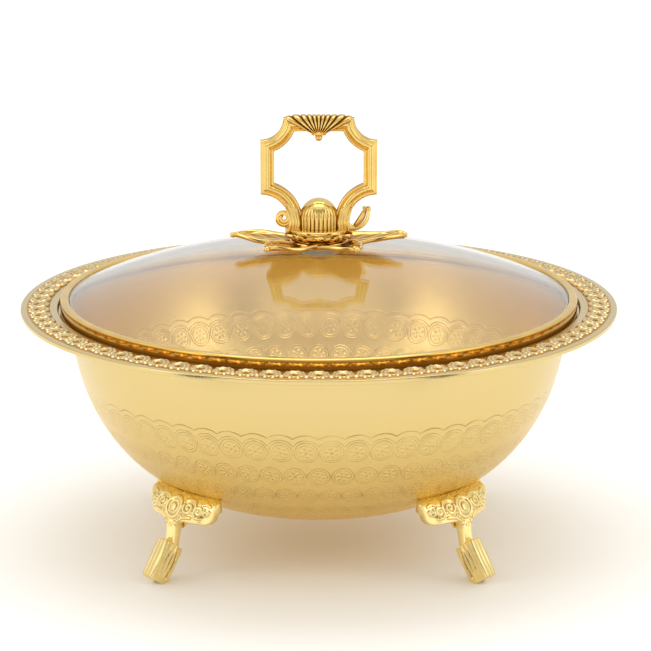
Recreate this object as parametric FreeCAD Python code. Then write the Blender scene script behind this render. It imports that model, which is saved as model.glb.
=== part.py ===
import FreeCAD, Part
import math
import os
from FreeCAD import Rotation, Vector

# A footed serving bowl of gold-coloured sheet metal with a flanged, ornamented rim, four cast
# legs and a lift-off domed glass lid with a cast loop handle.
# Millimetres, +Z up. The origin is on the bowl's axis at floor level. The front is -Y.

# ---------------------------------------------------------------- driving dimensions
# Bowl: one sheet-metal pressing with a wall, a recessed ledge for the lid and a flat flange.
SHEET = 0.9               # sheet thickness
FLOOR_GAP = 25.0          # floor to the lowest point of the wall's curve, on the axis
WALL_RADIUS = 144.5       # outside radius of the wall under the ledge
LEDGE_Z = 139.5           # top of the ledge that the lid rests on
WALL_CROWN = 3.6          # the wall's curve is square to the ledge this far above it
WALL_POWER_R = 2.915      # the wall is a superellipse: exponent of the radius
WALL_POWER_Z = 2.054      # and exponent of the depth
WALL_POINTS = 26          # points that the wall's curve passes through
BOTTOM_FLAT = 30.0        # radius of the flat in the middle of the bottom
RECESS_DEPTH = 2.9        # flange top above the ledge top
LIP_WIDTH = 3.6           # smooth outer edge of the flange, outside the ornament
LIP_DROP = 2.6            # turned-down edge, measured from the flange top
LIP_CORNER = 0.8          # outside radius of the turned-down edge
FLANGE_INNER = 4.5        # smooth inner edge of the flange, inside the ornament

# Rim ornament: a ring of raised fans on the flange.
BAND_WIDTH = 13.4
BAND_HEIGHT = 2.2
BAND_EDGE = 0.7           # height of the ornament's own edge
FAN_COUNT = 78
FAN_CUSP = 1.2            # radius of the notch between two fans
FAN_EYE = 0.9             # radius of the sunk eye in each fan
FAN_EYE_DEPTH = 1.2
FAN_EYE_INSET = 7.4       # eye centre, measured outward from the ornament's inner edge

# Lid frame and glass.
LID_GAP = 1.5             # radial gap between the lid ring and the recess
RING_WIDTH = 5.0
RING_HEIGHT = 8.7
RING_OUTER_ROUND = 3.0
RING_INNER_ROUND = 0.8
SEAT_WIDTH = 3.0          # inner lip of the ring, under the edge of the glass
SEAT_DROP = 1.6           # the lip's thickness under the lowest edge of the glass
GLASS_SPHERE = 380.0      # outside radius of the glass dome
GLASS_THICK = 4.0
GLASS_RIM_DROP = 0.95     # edge of the glass below the top of the ring
GLASS_HOLE = 4.0          # radius of the hole for the handle's screw

# Handle stack, from the glass upward.
SCREW_RADIUS = 2.5
SCREW_FIT = 0.2           # radial clearance in the plates and washers
SEAL_RADIUS = 12.0
SEAL_THICK = 1.3
SEAL_SINK = 0.3           # seals are cut to the curve of the glass, from this much inside it
CLAMP_RADIUS = 10.5       # metal washer under the glass
CLAMP_THICK = 1.2
HEAD_RADIUS = 5.0
HEAD_THICK = 3.0
SLOT_WIDTH = 1.2
SLOT_DEPTH = 1.3
LEAF_HUB = 17.0           # radius of the lower rosette's hub
LEAF_HUB_THICK = 4.0
LEAF_THICK = 2.2
LEAF_SPAN = 51.5          # axis to the tips of the side leaves
LEAF_ROOT = 0.7           # the leaves start inside the hub, at this share of its radius
LEAF_BALL = 1.7
LEAF_TIP_HALF = 1.4
# Between root and tip: share of the leaf's length, half width and rise.
LEAF_SECTIONS = ((0.0, 6.5, 0.0), (0.28, 10.6, 0.5), (0.55, 11.2, 2.0), (0.8, 6.4, 3.6))
# Each leaf: azimuth, shorter than LEAF_SPAN by, and rise of the tip.
LEAVES = ((0, 0, 4.4), (180, 0, 4.4), (232, 2, 4.2), (299, 5, 4.2), (57, 13, 2.0), (118, 13, 2.0))
PETAL_HUB = 14.0
PETAL_HUB_THICK = 3.4
PETAL_SPAN = 21.6
PETAL_COUNT = 8
PETAL_ROOT = 0.6          # the petals start inside the hub, at this share of its radius
# Each petal's sections: half width, and the heights of its low and high face.
PETAL_ROOT_SECTION = (3.4, 0.0, 2.6)
PETAL_BROAD_SECTION = (6.6, 0.0, 3.2)
PETAL_TIP_SECTION = (2.4, 1.6, 3.9)
PETAL_BROAD_INSET = 4.0   # broadest section, inward from the tip
LOOP_HUB = 17.0
LOOP_HUB_THICK = 3.0
LOOP_HEIGHT = 64.2        # hub top to the top of the loop
LOOP_HALF_WIDTH = 33.6
LOOP_BAR = 7.9            # width of the bar, seen from the front
LOOP_THICK = 5.0          # depth of the bar, front to back
LOOP_RIB = 7.0            # depth over the raised rib
LOOP_RIB_INSET = 2.0
TOP_NOTCH = 13.2          # concave upper corners
FOOT_NOTCH = 16.6         # concave lower corners
FOOT_RISE = 2.6           # centre of the lower corners above the hub top
DOME_RADIUS = 11.0
DOME_HEIGHT = 17.0
DOME_FLUTES = 18
FLUTE_RADIUS = 1.2
FLUTE_TOP = 6.0           # flutes stop this far below the top of the dome
DOME_GAP = 0.2            # between the dome and the arms of the loop
SCREW_IN_DOME = 9.0       # thread length inside the dome
CREST_SPAN = 20.4         # half width of the shell on the top bar
CREST_RISE = 1.8          # shell above the top bar
CREST_SHOULDER = 0.6      # the shell's ends, below the top bar's top
CREST_THICK = 9.4
CREST_PENDANT = 13.8      # top of the bar to the tip of the pendant
CREST_PENDANT_HALF = 3.7
CREST_PENDANT_ROOT = 2.0  # the pendant starts this far below the bar
CREST_SIDE_HALF = 9.62    # the fan's lower edges pass through this half width
CREST_SIDE_RISE = 4.0     # and this height above the bar's underside
CURL_DEPTH = 5.6          # scrolls, front to back
CURL_WEB = 2.4            # web of the closed scroll
CURL_RADIUS = 5.2
CURL_BAND = 1.9
CURL_EYE = 1.8
CURL_GAP = 0.3            # between the scroll's curve and the rib of the loop's foot
CURL_RISE = 5.2           # centre of the closed scroll above the hub top
HOOK_RADIUS = 10.2        # open scroll: outside radius of its curve
HOOK_BAND = 2.2
HOOK_RISE = 8.0           # centre of the open scroll above the hub top
HOOK_X = 19.4
HOOK_START = -112.0       # degrees, from the loop's foot
HOOK_END = 12.0           # degrees, at the tip
BLADE_ANGLES = (-88.0, -68.0, 8.0)    # where the blade inside the curve meets it
BLADE_TIP_ANGLE = 30.0
BLADE_TIP_REACH = 0.62    # the blade's tip, as a share of the curve's inside radius
HOOK_TIP = 1.7            # radius of the rolled tip
HOOK_TIP_PROUD = 0.3

# Legs: cast cabriole legs, each held by one screw from inside the bowl.
LEG_AZIMUTHS = {"back_right": 43.2, "back_left": 136.8, "front_left": 223.2, "front_right": 316.8}
KNEE_RISE = 23.607        # the plate meets the wall this far above FLOOR_GAP
KNEE_REACH = 12.4         # from there out to the plate's outermost face
PLATE_GAP = 1.4           # the plate's top edge stays this far below the wall
# The plate's face and back, from the top edge down and up again: inward from the knee, down from the top.
PLATE_FACE = ((KNEE_REACH, 0.0), (5.9, 1.8), (1.5, 5.8), (0.0, 11.2), (-0.4, 17.2))
PLATE_BACK = ((3.9, 17.2), (4.5, 14.0), (6.0, 9.4), (10.0, 4.6), (17.9, 0.7))
PLATE_SWEEP_MARGIN = 1.2  # the ring that the plate is cut from, against the plate's own length
WING_HALF = 28.5          # half length of the plate that hugs the bowl
WING_ROUND = 6.0
WING_DROP = 11.707        # top edge of the plate to its lower edge
RIB_HALF = 5.0            # half width of the rib behind the plate
RIB_INNER = 5.0           # the rib starts this far inside the screw
RIB_OUTER = 4.0           # and leaves the wall this far outside it
RIB_SKIN = 1.5            # the rib's lower edge, below the wall at its start
RIB_SINK = 3.0            # the rib ends this far inside the plate's face
RIB_FOOT = 7.0            # and its lower corner this far
NECK_HALF = 3.9
NECK_DEPTH = 6.5
NECK_FILLET = 6.0
NECK_TOP_SHIFT = 0.2      # front of the neck outside the plate's outermost face
NECK_TOP_SINK = 1.0       # the neck starts this far below the plate's lower edge
NECK_FOOT_SHIFT = 1.2     # the neck's foot, inward from the hoof's centre
NECK_FOOT_SINK = 3.0      # and this deep inside the hoof
HOOF_REACH = 1.3          # axis of the hoof's upper end, outward from the knee
HOOF_TOP_Z = 21.5
HOOF_TILT = 34.0          # hoof axis from vertical, outward
HOOF_LENGTH = 23.0
HOOF_HALF = 4.6           # half width
HOOF_FRONT = 6.5          # axis to the fluted front face
HOOF_BACK = 8.5
HOOF_BEVEL = 1.0          # corners of the front face
HOOF_SIDE = (0.3, 0.94)   # where the side turns in: shares of the back's reach and the half width
HOOF_HEEL = 0.8           # half width of the back, as a share of the front's
HOOF_TAPER = 0.95         # lower end against the upper end
HOOF_FLUTES = 2
HOOF_FLUTE_RADIUS = 1.2
HOOF_FLUTE_PROUD = 0.6    # the flutes' axes, in front of the front face
MEDALLION_HALF_WIDTH = 5.6
MEDALLION_HALF_HEIGHT = 6.4
MEDALLION_DEPTH = 4.5     # how deep the medallion reaches into the plate
MEDALLION_PROUD = 0.8
MEDALLION_INSET = 0.8     # its middle, inward from the plate's outermost face
MEDALLION_SLOPE = 0.35    # it leans back to lie on the plate's curve
LEG_SCREW_INSET = 5.5     # the screw crosses the wall this far inward from where the plate meets it
LEG_SCREW_RADIUS = 2.0
LEG_SCREW_DEPTH = 8.0     # thread in the leg
LEG_BORE_START = 5.0      # the thread's bore starts this far inside the wall
LEG_SCREW_FIT = 0.2
LEG_HEAD_RADIUS = 3.8
LEG_HEAD_THICK = 2.2
LEG_SEAL_RADIUS = 5.0
LEG_SEAL_THICK = 1.0
LEG_SEAL_LIFT = 0.25      # the wall's hollow under a flat washer

# ---------------------------------------------------------------- derived places
AXIS = Vector(0, 0, 1)
ORIGIN = Vector(0, 0, 0)
QUARTER = 90.0            # the bowl is turned in four quarters, one over each leg
WALL_TOP_Z = LEDGE_Z + WALL_CROWN
WALL_DEPTH = WALL_TOP_Z - FLOOR_GAP
FLANGE_Z = LEDGE_Z + RECESS_DEPTH
LID_RADIUS = WALL_RADIUS + 5.5
RECESS_RADIUS = LID_RADIUS + LID_GAP
BAND_INNER = RECESS_RADIUS + FLANGE_INNER
BAND_OUTER = BAND_INNER + BAND_WIDTH
RIM_RADIUS = BAND_OUTER + LIP_WIDTH
GLASS_RADIUS = LID_RADIUS - RING_WIDTH
RING_TOP = LEDGE_Z + RING_HEIGHT
GLASS_EDGE_TOP = RING_TOP - GLASS_RIM_DROP
GLASS_CENTRE_Z = GLASS_EDGE_TOP - math.sqrt(GLASS_SPHERE ** 2 - GLASS_RADIUS ** 2)
GLASS_TOP = GLASS_CENTRE_Z + GLASS_SPHERE
GLASS_EDGE_BOTTOM = GLASS_CENTRE_Z + math.sqrt((GLASS_SPHERE - GLASS_THICK) ** 2 - GLASS_RADIUS ** 2)
LEAF_Z = GLASS_TOP + SEAL_THICK
PETAL_Z = LEAF_Z + LEAF_HUB_THICK
LOOP_Z = PETAL_Z + PETAL_HUB_THICK
LOOP_HUB_TOP = LOOP_Z + LOOP_HUB_THICK
LOOP_TOP = LOOP_HUB_TOP + LOOP_HEIGHT
CREST_TOP = LOOP_TOP + CREST_RISE


def wall_z(radius):
    """Height of the wall's outside at a radius."""
    share = 1.0 - (radius / WALL_RADIUS) ** WALL_POWER_R
    return WALL_TOP_Z - WALL_DEPTH * share ** (1.0 / WALL_POWER_Z)


def wall_radius_at(height):
    share = 1.0 - ((WALL_TOP_Z - height) / WALL_DEPTH) ** WALL_POWER_Z
    return WALL_RADIUS * share ** (1.0 / WALL_POWER_R)


KNEE_TOUCH = wall_radius_at(FLOOR_GAP + KNEE_RISE)
KNEE_RADIUS = KNEE_TOUCH + KNEE_REACH
PLATE_TOP = FLOOR_GAP + KNEE_RISE - PLATE_GAP
WING_BOTTOM = PLATE_TOP - WING_DROP
HOOF_TOP = Vector(KNEE_RADIUS + HOOF_REACH, 0, HOOF_TOP_Z)
LEG_SCREW_AT = KNEE_TOUCH - LEG_SCREW_INSET


# ---------------------------------------------------------------- helpers
def export(name, shape):
    shape.exportStep("parts/" + name + ".step")
    print(name, len(shape.Solids), "solid(s)", round(shape.Volume), "mm3")


def line(start, end):
    return Part.LineSegment(start, end).toShape()


def arc(start, middle, end):
    return Part.Arc(start, middle, end).toShape()


def polygon_face(points):
    return Part.Face(Part.makePolygon(points + [points[0]]))


def spin(profile_edges):
    """Turn a closed outline in the XZ plane once about the axis."""
    return Part.Face(Part.Wire(profile_edges)).revolve(ORIGIN, AXIS, 360)


def disc(radius, bottom, thickness):
    return Part.makeCylinder(radius, thickness, Vector(0, 0, bottom))


def slab(face, depth):
    """Extrude a face that lies in the XZ plane equally to both sides of it."""
    moved = face.translated(Vector(0, -depth / 2, 0))
    return moved.extrude(Vector(0, depth, 0))


def fuse_all(shapes):
    return shapes[0].multiFuse(shapes[1:]).removeSplitter()


def around(shape, degrees):
    turned = shape.copy()
    turned.rotate(ORIGIN, AXIS, degrees)
    return turned


def along(shape, place, direction):
    """Stand a shape that was made on the origin along +Z at a place, along a direction."""
    moved = shape.copy()
    moved.Placement = FreeCAD.Placement(place, Rotation(AXIS, direction))
    return moved


# ---------------------------------------------------------------- bowl
def wall_curve(top, inset=0.0):
    """The wall's curve, from the edge of the bottom's flat up to a height."""
    start_angle = math.asin((BOTTOM_FLAT / (WALL_RADIUS - inset)) ** (WALL_POWER_R / 2))
    end_angle = math.acos(((WALL_TOP_Z - top) / (WALL_DEPTH - inset)) ** (WALL_POWER_Z / 2))
    points = []
    for index in range(WALL_POINTS + 1):
        angle = start_angle + (end_angle - start_angle) * index / WALL_POINTS
        radius = (WALL_RADIUS - inset) * math.sin(angle) ** (2.0 / WALL_POWER_R)
        depth = (WALL_DEPTH - inset) * math.cos(angle) ** (2.0 / WALL_POWER_Z)
        points.append(Vector(radius, 0, WALL_TOP_Z - depth))
    curve = Part.BSplineCurve()
    curve.interpolate(points)
    return curve.toShape(), points[0], points[-1]


def bowl_envelope():
    """Everything inside the outside of the wall, filled."""
    curve, low, top = wall_curve(LEDGE_Z - SHEET)
    axis_top = Vector(0, 0, top.z)
    axis_low = Vector(0, 0, low.z)
    return spin([curve, line(top, axis_top), line(axis_top, axis_low), line(axis_low, low)])


def lip_edges():
    """The turned-down edge, from the flange top round to the flange's underside."""
    corner = LIP_CORNER * (1.0 - math.sqrt(0.5))
    top_end = Vector(RIM_RADIUS - LIP_CORNER, 0, FLANGE_Z)
    side_start = Vector(RIM_RADIUS, 0, FLANGE_Z - LIP_CORNER)
    side_end = Vector(RIM_RADIUS, 0, FLANGE_Z - LIP_DROP)
    inner_end = Vector(RIM_RADIUS - SHEET, 0, FLANGE_Z - LIP_DROP)
    under = Vector(RIM_RADIUS - SHEET, 0, FLANGE_Z - SHEET)
    middle = Vector(RIM_RADIUS - corner, 0, FLANGE_Z - corner)
    edges = [arc(top_end, middle, side_start), line(side_start, side_end)]
    edges += [line(side_end, inner_end), line(inner_end, under)]
    return top_end, edges, under


def bowl_shell():
    """Four quarters, each with the hole for its own leg's screw, joined into one sheet."""
    outer, outer_low, outer_top = wall_curve(LEDGE_Z - SHEET)
    inner, inner_low, inner_top = wall_curve(LEDGE_Z, SHEET)
    axis_outer = Vector(0, 0, outer_low.z)
    axis_inner = Vector(0, 0, inner_low.z)
    step_low = Vector(RECESS_RADIUS, 0, LEDGE_Z)
    step_high = Vector(RECESS_RADIUS, 0, FLANGE_Z)
    under_high = Vector(RECESS_RADIUS + SHEET, 0, FLANGE_Z - SHEET)
    under_low = Vector(RECESS_RADIUS + SHEET, 0, LEDGE_Z - SHEET)
    flange_end, lip, lip_under = lip_edges()
    edges = [inner, line(inner_top, step_low), line(step_low, step_high), line(step_high, flange_end)]
    edges += lip
    edges += [line(lip_under, under_high), line(under_high, under_low), line(under_low, outer_top)]
    edges += [outer, line(outer_low, axis_outer), line(axis_outer, axis_inner), line(axis_inner, inner_low)]
    quarter = Part.Face(Part.Wire(Part.__sortEdges__(edges))).revolve(ORIGIN, AXIS, QUARTER)
    quarters = []
    for azimuth in LEG_AZIMUTHS.values():
        start = QUARTER * math.floor(azimuth / QUARTER)
        quarters.append(around(quarter.cut(around(leg_screw_hole(), azimuth - start)), start))
    return fuse_all(quarters)


def rim_band():
    """A low ring with a rounded top, notched between the fans and sunk at each eye."""
    inner_low = Vector(BAND_INNER, 0, FLANGE_Z)
    inner_high = Vector(BAND_INNER, 0, FLANGE_Z + BAND_EDGE)
    crown = Vector(BAND_INNER + BAND_WIDTH / 2, 0, FLANGE_Z + BAND_HEIGHT)
    outer_high = Vector(BAND_OUTER, 0, FLANGE_Z + BAND_EDGE)
    outer_low = Vector(BAND_OUTER, 0, FLANGE_Z)
    edges = [line(inner_low, inner_high), arc(inner_high, crown, outer_high)]
    edges += [line(outer_high, outer_low), line(outer_low, inner_low)]
    ring = spin(edges)
    pitch = 360.0 / FAN_COUNT
    cutters = []
    notch = Part.makeCylinder(FAN_CUSP, 2 * BAND_HEIGHT, Vector(BAND_INNER, 0, FLANGE_Z))
    eye_floor = FLANGE_Z + BAND_HEIGHT - FAN_EYE_DEPTH
    eye = Part.makeCylinder(FAN_EYE, BAND_HEIGHT, Vector(BAND_INNER + FAN_EYE_INSET, 0, eye_floor))
    for index in range(FAN_COUNT):
        cutters.append(around(notch, pitch * (index + 0.5)))
        cutters.append(around(eye, pitch * index))
    return ring.cut(Part.makeCompound(cutters))


# ---------------------------------------------------------------- leg fasteners
def leg_screw_frame():
    """Where a leg's screw axis leaves the outside of the wall, and its outward direction."""
    step = 0.01
    slope = (wall_z(LEG_SCREW_AT + step) - wall_z(LEG_SCREW_AT - step)) / (2 * step)
    normal = Vector(slope, 0, -1)
    normal.normalize()
    return Vector(LEG_SCREW_AT, 0, wall_z(LEG_SCREW_AT)), normal


def at_legs(shape):
    return [around(shape, azimuth) for azimuth in LEG_AZIMUTHS.values()]


def leg_screw_back():
    """How far inside the wall's outside a leg screw's head starts."""
    return SHEET + LEG_SEAL_LIFT + LEG_SEAL_THICK


def leg_screw_hole():
    place, normal = leg_screw_frame()
    back = leg_screw_back()
    hole = Part.makeCylinder(LEG_SCREW_RADIUS + LEG_SCREW_FIT, LEG_SCREW_DEPTH + back, Vector(0, 0, -back))
    return along(hole, place, normal)


def leg_screws():
    place, normal = leg_screw_frame()
    back = leg_screw_back()
    shaft = Part.makeCylinder(LEG_SCREW_RADIUS, LEG_SCREW_DEPTH + back, Vector(0, 0, -back))
    head = Part.makeCylinder(LEG_HEAD_RADIUS, LEG_HEAD_THICK, Vector(0, 0, -back - LEG_HEAD_THICK))
    rim_edges = [edge for edge in head.Edges if edge.BoundBox.ZMax < -back - LEG_HEAD_THICK / 2]
    head = head.makeFillet(LEG_HEAD_THICK / 3, rim_edges)
    return Part.makeCompound(at_legs(along(shaft.fuse(head).removeSplitter(), place, normal)))


def leg_seals():
    """A soft washer under each screw head. It is flat, so only its edge meets the curved wall."""
    place, normal = leg_screw_frame()
    back = leg_screw_back()
    washer = Part.makeCylinder(LEG_SEAL_RADIUS, LEG_SEAL_THICK, Vector(0, 0, -back))
    hole = Part.makeCylinder(LEG_SCREW_RADIUS, 2 * back, Vector(0, 0, -2 * back))
    return Part.makeCompound(at_legs(along(washer.cut(hole), place, normal)))


# ---------------------------------------------------------------- legs
def knee_point(inward, down):
    return Vector(KNEE_RADIUS - inward, 0, PLATE_TOP - down)


def knee_plate():
    """The plate that hugs the bowl: part of a ring, cut to the winged outline."""
    front_points = [knee_point(*place) for place in PLATE_FACE]
    back_points = [knee_point(*place) for place in PLATE_BACK]
    front_curve = Part.BSplineCurve()
    front_curve.interpolate(front_points)
    back_curve = Part.BSplineCurve()
    back_curve.interpolate(back_points)
    edges = [front_curve.toShape(), line(front_points[-1], back_points[0])]
    edges += [back_curve.toShape(), line(back_points[-1], front_points[0])]
    inner_radius = back_points[-1].x
    sweep = 2 * PLATE_SWEEP_MARGIN * math.degrees(math.asin(WING_HALF / inner_radius))
    ring = Part.Face(Part.Wire(edges)).revolve(ORIGIN, AXIS, sweep)
    ring.rotate(ORIGIN, AXIS, -sweep / 2)
    return ring.common(wing_outline())


def wing_outline():
    """The outline of the plate and the top of the neck, seen from outside, as a thick block."""
    near = KNEE_RADIUS - 3 * WING_ROUND
    foot = WING_BOTTOM - NECK_FILLET
    fillet_centre = NECK_HALF + NECK_FILLET
    wing_centre = WING_HALF - WING_ROUND
    mid_z = WING_BOTTOM + WING_ROUND
    root = math.sqrt(0.5)
    half = [
        line(Vector(near, 0, foot), Vector(near, NECK_HALF, foot)),
        arc(Vector(near, NECK_HALF, foot),
            Vector(near, fillet_centre - NECK_FILLET * root, foot + NECK_FILLET * root),
            Vector(near, fillet_centre, WING_BOTTOM)),
        line(Vector(near, fillet_centre, WING_BOTTOM), Vector(near, wing_centre, WING_BOTTOM)),
        arc(Vector(near, wing_centre, WING_BOTTOM), Vector(near, WING_HALF, mid_z),
            Vector(near, wing_centre, mid_z + WING_ROUND)),
        line(Vector(near, wing_centre, mid_z + WING_ROUND), Vector(near, 0, mid_z + WING_ROUND)),
    ]
    other = [edge.mirror(ORIGIN, Vector(0, 1, 0)) for edge in half]
    outline = Part.Wire(Part.__sortEdges__(half + other))
    return Part.Face(outline).extrude(Vector(6 * WING_ROUND, 0, 0))


def knee_rib():
    """The solid rib behind the plate that takes the screw."""
    inner = LEG_SCREW_AT - RIB_INNER
    outer = LEG_SCREW_AT + RIB_OUTER
    foot = WING_BOTTOM - NECK_FILLET
    side = polygon_face([
        Vector(inner, 0, wall_z(inner) - RIB_SKIN),
        Vector(inner, 0, wall_z(LEG_SCREW_AT)),
        Vector(outer, 0, wall_z(outer)),
        Vector(KNEE_RADIUS - RIB_SINK, 0, WING_BOTTOM + WING_ROUND),
        Vector(KNEE_RADIUS - RIB_SINK, 0, foot),
        Vector(KNEE_RADIUS - RIB_FOOT, 0, foot),
    ])
    return slab(side, 2 * RIB_HALF)


def leg_neck():
    top = neck_section(KNEE_RADIUS + NECK_TOP_SHIFT - NECK_DEPTH / 2, WING_BOTTOM - NECK_TOP_SINK)
    bottom = neck_section(HOOF_TOP.x - NECK_FOOT_SHIFT, HOOF_TOP.z - NECK_FOOT_SINK)
    return Part.makeLoft([top, bottom], True, True)


def neck_section(centre, height):
    chamfer = NECK_HALF / 3
    deep = NECK_DEPTH / 2
    points = [(deep, NECK_HALF - chamfer), (deep - chamfer, NECK_HALF)]
    points += [(chamfer - deep, NECK_HALF), (-deep, NECK_HALF - chamfer)]
    points += [(x, -y) for x, y in reversed(points)]
    corners = [Vector(centre + x, y, height) for x, y in points]
    return Part.makePolygon(corners + [corners[0]])


def hoof_section(scale, drop):
    half = HOOF_HALF * scale
    front = HOOF_FRONT
    back = HOOF_BACK * scale
    reach, width = HOOF_SIDE
    points = [(front, half - HOOF_BEVEL), (front - HOOF_BEVEL, half)]
    points += [(-back * reach, half * width), (-back, half * HOOF_HEEL)]
    points += [(x, -y) for x, y in reversed(points)]
    corners = [Vector(x, y, -drop) for x, y in points]
    return Part.makePolygon(corners + [corners[0]])


def hoof():
    """A tilted, tapered block with a fluted front, cut flat where it stands on the floor."""
    block = Part.makeLoft([hoof_section(1.0, 0), hoof_section(HOOF_TAPER, HOOF_LENGTH)], True, True)
    spacing = 2 * (HOOF_HALF - HOOF_BEVEL) / HOOF_FLUTES
    flutes = []
    for index in range(HOOF_FLUTES):
        across = (index - (HOOF_FLUTES - 1) / 2.0) * spacing
        start = Vector(HOOF_FRONT + HOOF_FLUTE_PROUD, across, 1)
        end = Vector(HOOF_FRONT + HOOF_FLUTE_PROUD, across * HOOF_TAPER, -HOOF_LENGTH - 1)
        direction = end - start
        flutes.append(Part.makeCylinder(HOOF_FLUTE_RADIUS, direction.Length, start, direction))
    block = block.cut(Part.makeCompound(flutes))
    block.rotate(ORIGIN, Vector(0, 1, 0), -HOOF_TILT)
    block.translate(HOOF_TOP)
    below = Part.makeBox(4 * HOOF_LENGTH, 4 * HOOF_LENGTH, HOOF_LENGTH)
    below.translate(Vector(HOOF_TOP.x - 2 * HOOF_LENGTH, -2 * HOOF_LENGTH, -HOOF_LENGTH))
    return block.cut(below)


def medallion():
    """The raised oval in the middle of the plate."""
    oval = Part.Ellipse(ORIGIN, MEDALLION_HALF_HEIGHT, MEDALLION_HALF_WIDTH).toShape()
    block = Part.Face(Part.Wire([oval])).extrude(Vector(0, 0, MEDALLION_DEPTH + MEDALLION_PROUD))
    direction = Vector(1, 0, MEDALLION_SLOPE)
    direction.normalize()
    start = Vector(KNEE_RADIUS - MEDALLION_INSET, 0, WING_BOTTOM + WING_ROUND) - direction * MEDALLION_DEPTH
    upright = Rotation(Vector(0, 0, 1), Vector(0, 1, 0), direction, "ZXY")
    block.Placement = FreeCAD.Placement(start, upright)
    return block


def leg(envelope):
    place, normal = leg_screw_frame()
    body = fuse_all([knee_plate(), knee_rib(), leg_neck(), hoof()])
    body = body.fuse(medallion()).removeSplitter()
    length = LEG_SCREW_DEPTH + LEG_BORE_START
    thread = Part.makeCylinder(LEG_SCREW_RADIUS, length, Vector(0, 0, -LEG_BORE_START))
    return body.cut(envelope).cut(along(thread, place, normal))


# ---------------------------------------------------------------- lid
def lid_glass():
    outer = Part.makeSphere(GLASS_SPHERE, Vector(0, 0, GLASS_CENTRE_Z))
    inner = Part.makeSphere(GLASS_SPHERE - GLASS_THICK, Vector(0, 0, GLASS_CENTRE_Z))
    height = GLASS_TOP - GLASS_EDGE_BOTTOM
    blank = disc(GLASS_RADIUS, GLASS_EDGE_BOTTOM, 2 * height)
    hole = disc(GLASS_HOLE, GLASS_EDGE_BOTTOM, 2 * height)
    return blank.common(outer).cut(inner).cut(hole)


def lid_ring(glass):
    root = math.sqrt(0.5)
    outer_round = RING_OUTER_ROUND
    inner_round = RING_INNER_ROUND
    seat_z = GLASS_EDGE_BOTTOM - SEAT_DROP
    corners = [
        Vector(LID_RADIUS, 0, LEDGE_Z),
        Vector(LID_RADIUS, 0, RING_TOP - outer_round),
        Vector(LID_RADIUS - outer_round * (1 - root), 0, RING_TOP - outer_round * (1 - root)),
        Vector(LID_RADIUS - outer_round, 0, RING_TOP),
        Vector(GLASS_RADIUS + inner_round, 0, RING_TOP),
        Vector(GLASS_RADIUS + inner_round * (1 - root), 0, RING_TOP - inner_round * (1 - root)),
        Vector(GLASS_RADIUS, 0, RING_TOP - inner_round),
        Vector(GLASS_RADIUS, 0, GLASS_EDGE_TOP - GLASS_THICK / 2),
        Vector(GLASS_RADIUS - SEAT_WIDTH, 0, GLASS_EDGE_TOP - GLASS_THICK / 2),
        Vector(GLASS_RADIUS - SEAT_WIDTH, 0, seat_z),
        Vector(GLASS_RADIUS, 0, seat_z),
        Vector(GLASS_RADIUS, 0, LEDGE_Z),
    ]
    edges = [line(corners[0], corners[1]), arc(*corners[1:4]), line(corners[3], corners[4])]
    edges += [arc(*corners[4:7]), line(corners[6], corners[7])]
    edges += [line(a, b) for a, b in zip(corners[7:], corners[8:] + corners[:1])]
    return spin(edges).cut(glass).Solids[0]


def screw_hole():
    return disc(SCREW_RADIUS + SCREW_FIT, GLASS_TOP - 2 * SEAL_RADIUS, 4 * SEAL_RADIUS)


def seal_upper(glass):
    ring = disc(SEAL_RADIUS, GLASS_TOP - SEAL_SINK, SEAL_THICK + SEAL_SINK)
    return ring.cut(glass).cut(disc(GLASS_HOLE, GLASS_TOP - SEAL_THICK, 3 * SEAL_THICK))


def seal_lower(glass):
    under = GLASS_TOP - GLASS_THICK
    ring = disc(SEAL_RADIUS, under - SEAL_THICK, SEAL_THICK + SEAL_SINK)
    return ring.cut(glass).cut(disc(GLASS_HOLE, under - 2 * SEAL_THICK, 3 * SEAL_THICK)).Solids[0]


def clamp_washer():
    bottom = GLASS_TOP - GLASS_THICK - SEAL_THICK - CLAMP_THICK
    return disc(CLAMP_RADIUS, bottom, CLAMP_THICK).cut(screw_hole())


def handle_screw():
    head_top = GLASS_TOP - GLASS_THICK - SEAL_THICK - CLAMP_THICK
    head_low = head_top - HEAD_THICK
    head = disc(HEAD_RADIUS, head_low, HEAD_THICK)
    rim_edges = [edge for edge in head.Edges if edge.BoundBox.ZMax < head_low + HEAD_THICK / 2]
    head = head.makeFillet(HEAD_THICK / 3, rim_edges)
    slot_corner = Vector(-HEAD_RADIUS, -SLOT_WIDTH / 2, head_low)
    slot = Part.makeBox(2 * HEAD_RADIUS, SLOT_WIDTH, SLOT_DEPTH, slot_corner)
    shaft = disc(SCREW_RADIUS, head_top, LOOP_HUB_TOP + SCREW_IN_DOME - head_top)
    return head.cut(slot).fuse(shaft).removeSplitter()


# ---------------------------------------------------------------- handle
def leaf(azimuth, span, tip_rise):
    """One broad leaf, from the hub out to its ball tip, rising as it goes."""
    mid_z = LEAF_Z + LEAF_THICK / 2
    root = LEAF_HUB * LEAF_ROOT
    reach = span - LEAF_BALL - root
    wires = []
    for share, half, rise in LEAF_SECTIONS + ((1.0, LEAF_TIP_HALF, tip_rise),):
        low = mid_z + rise - LEAF_THICK / 2
        wires.append(upright_section(root + reach * share, half, low, low + LEAF_THICK))
    blade = Part.makeLoft(wires, True, True)
    ball = Part.makeSphere(LEAF_BALL, Vector(span - LEAF_BALL, 0, mid_z + tip_rise))
    return around(blade.fuse(ball), azimuth)


def upright_section(x, half, low, high):
    """A rectangular outline square to the X axis."""
    corners = [Vector(x, -half, low), Vector(x, half, low), Vector(x, half, high), Vector(x, -half, high)]
    return Part.makePolygon(corners + [corners[0]])


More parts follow.
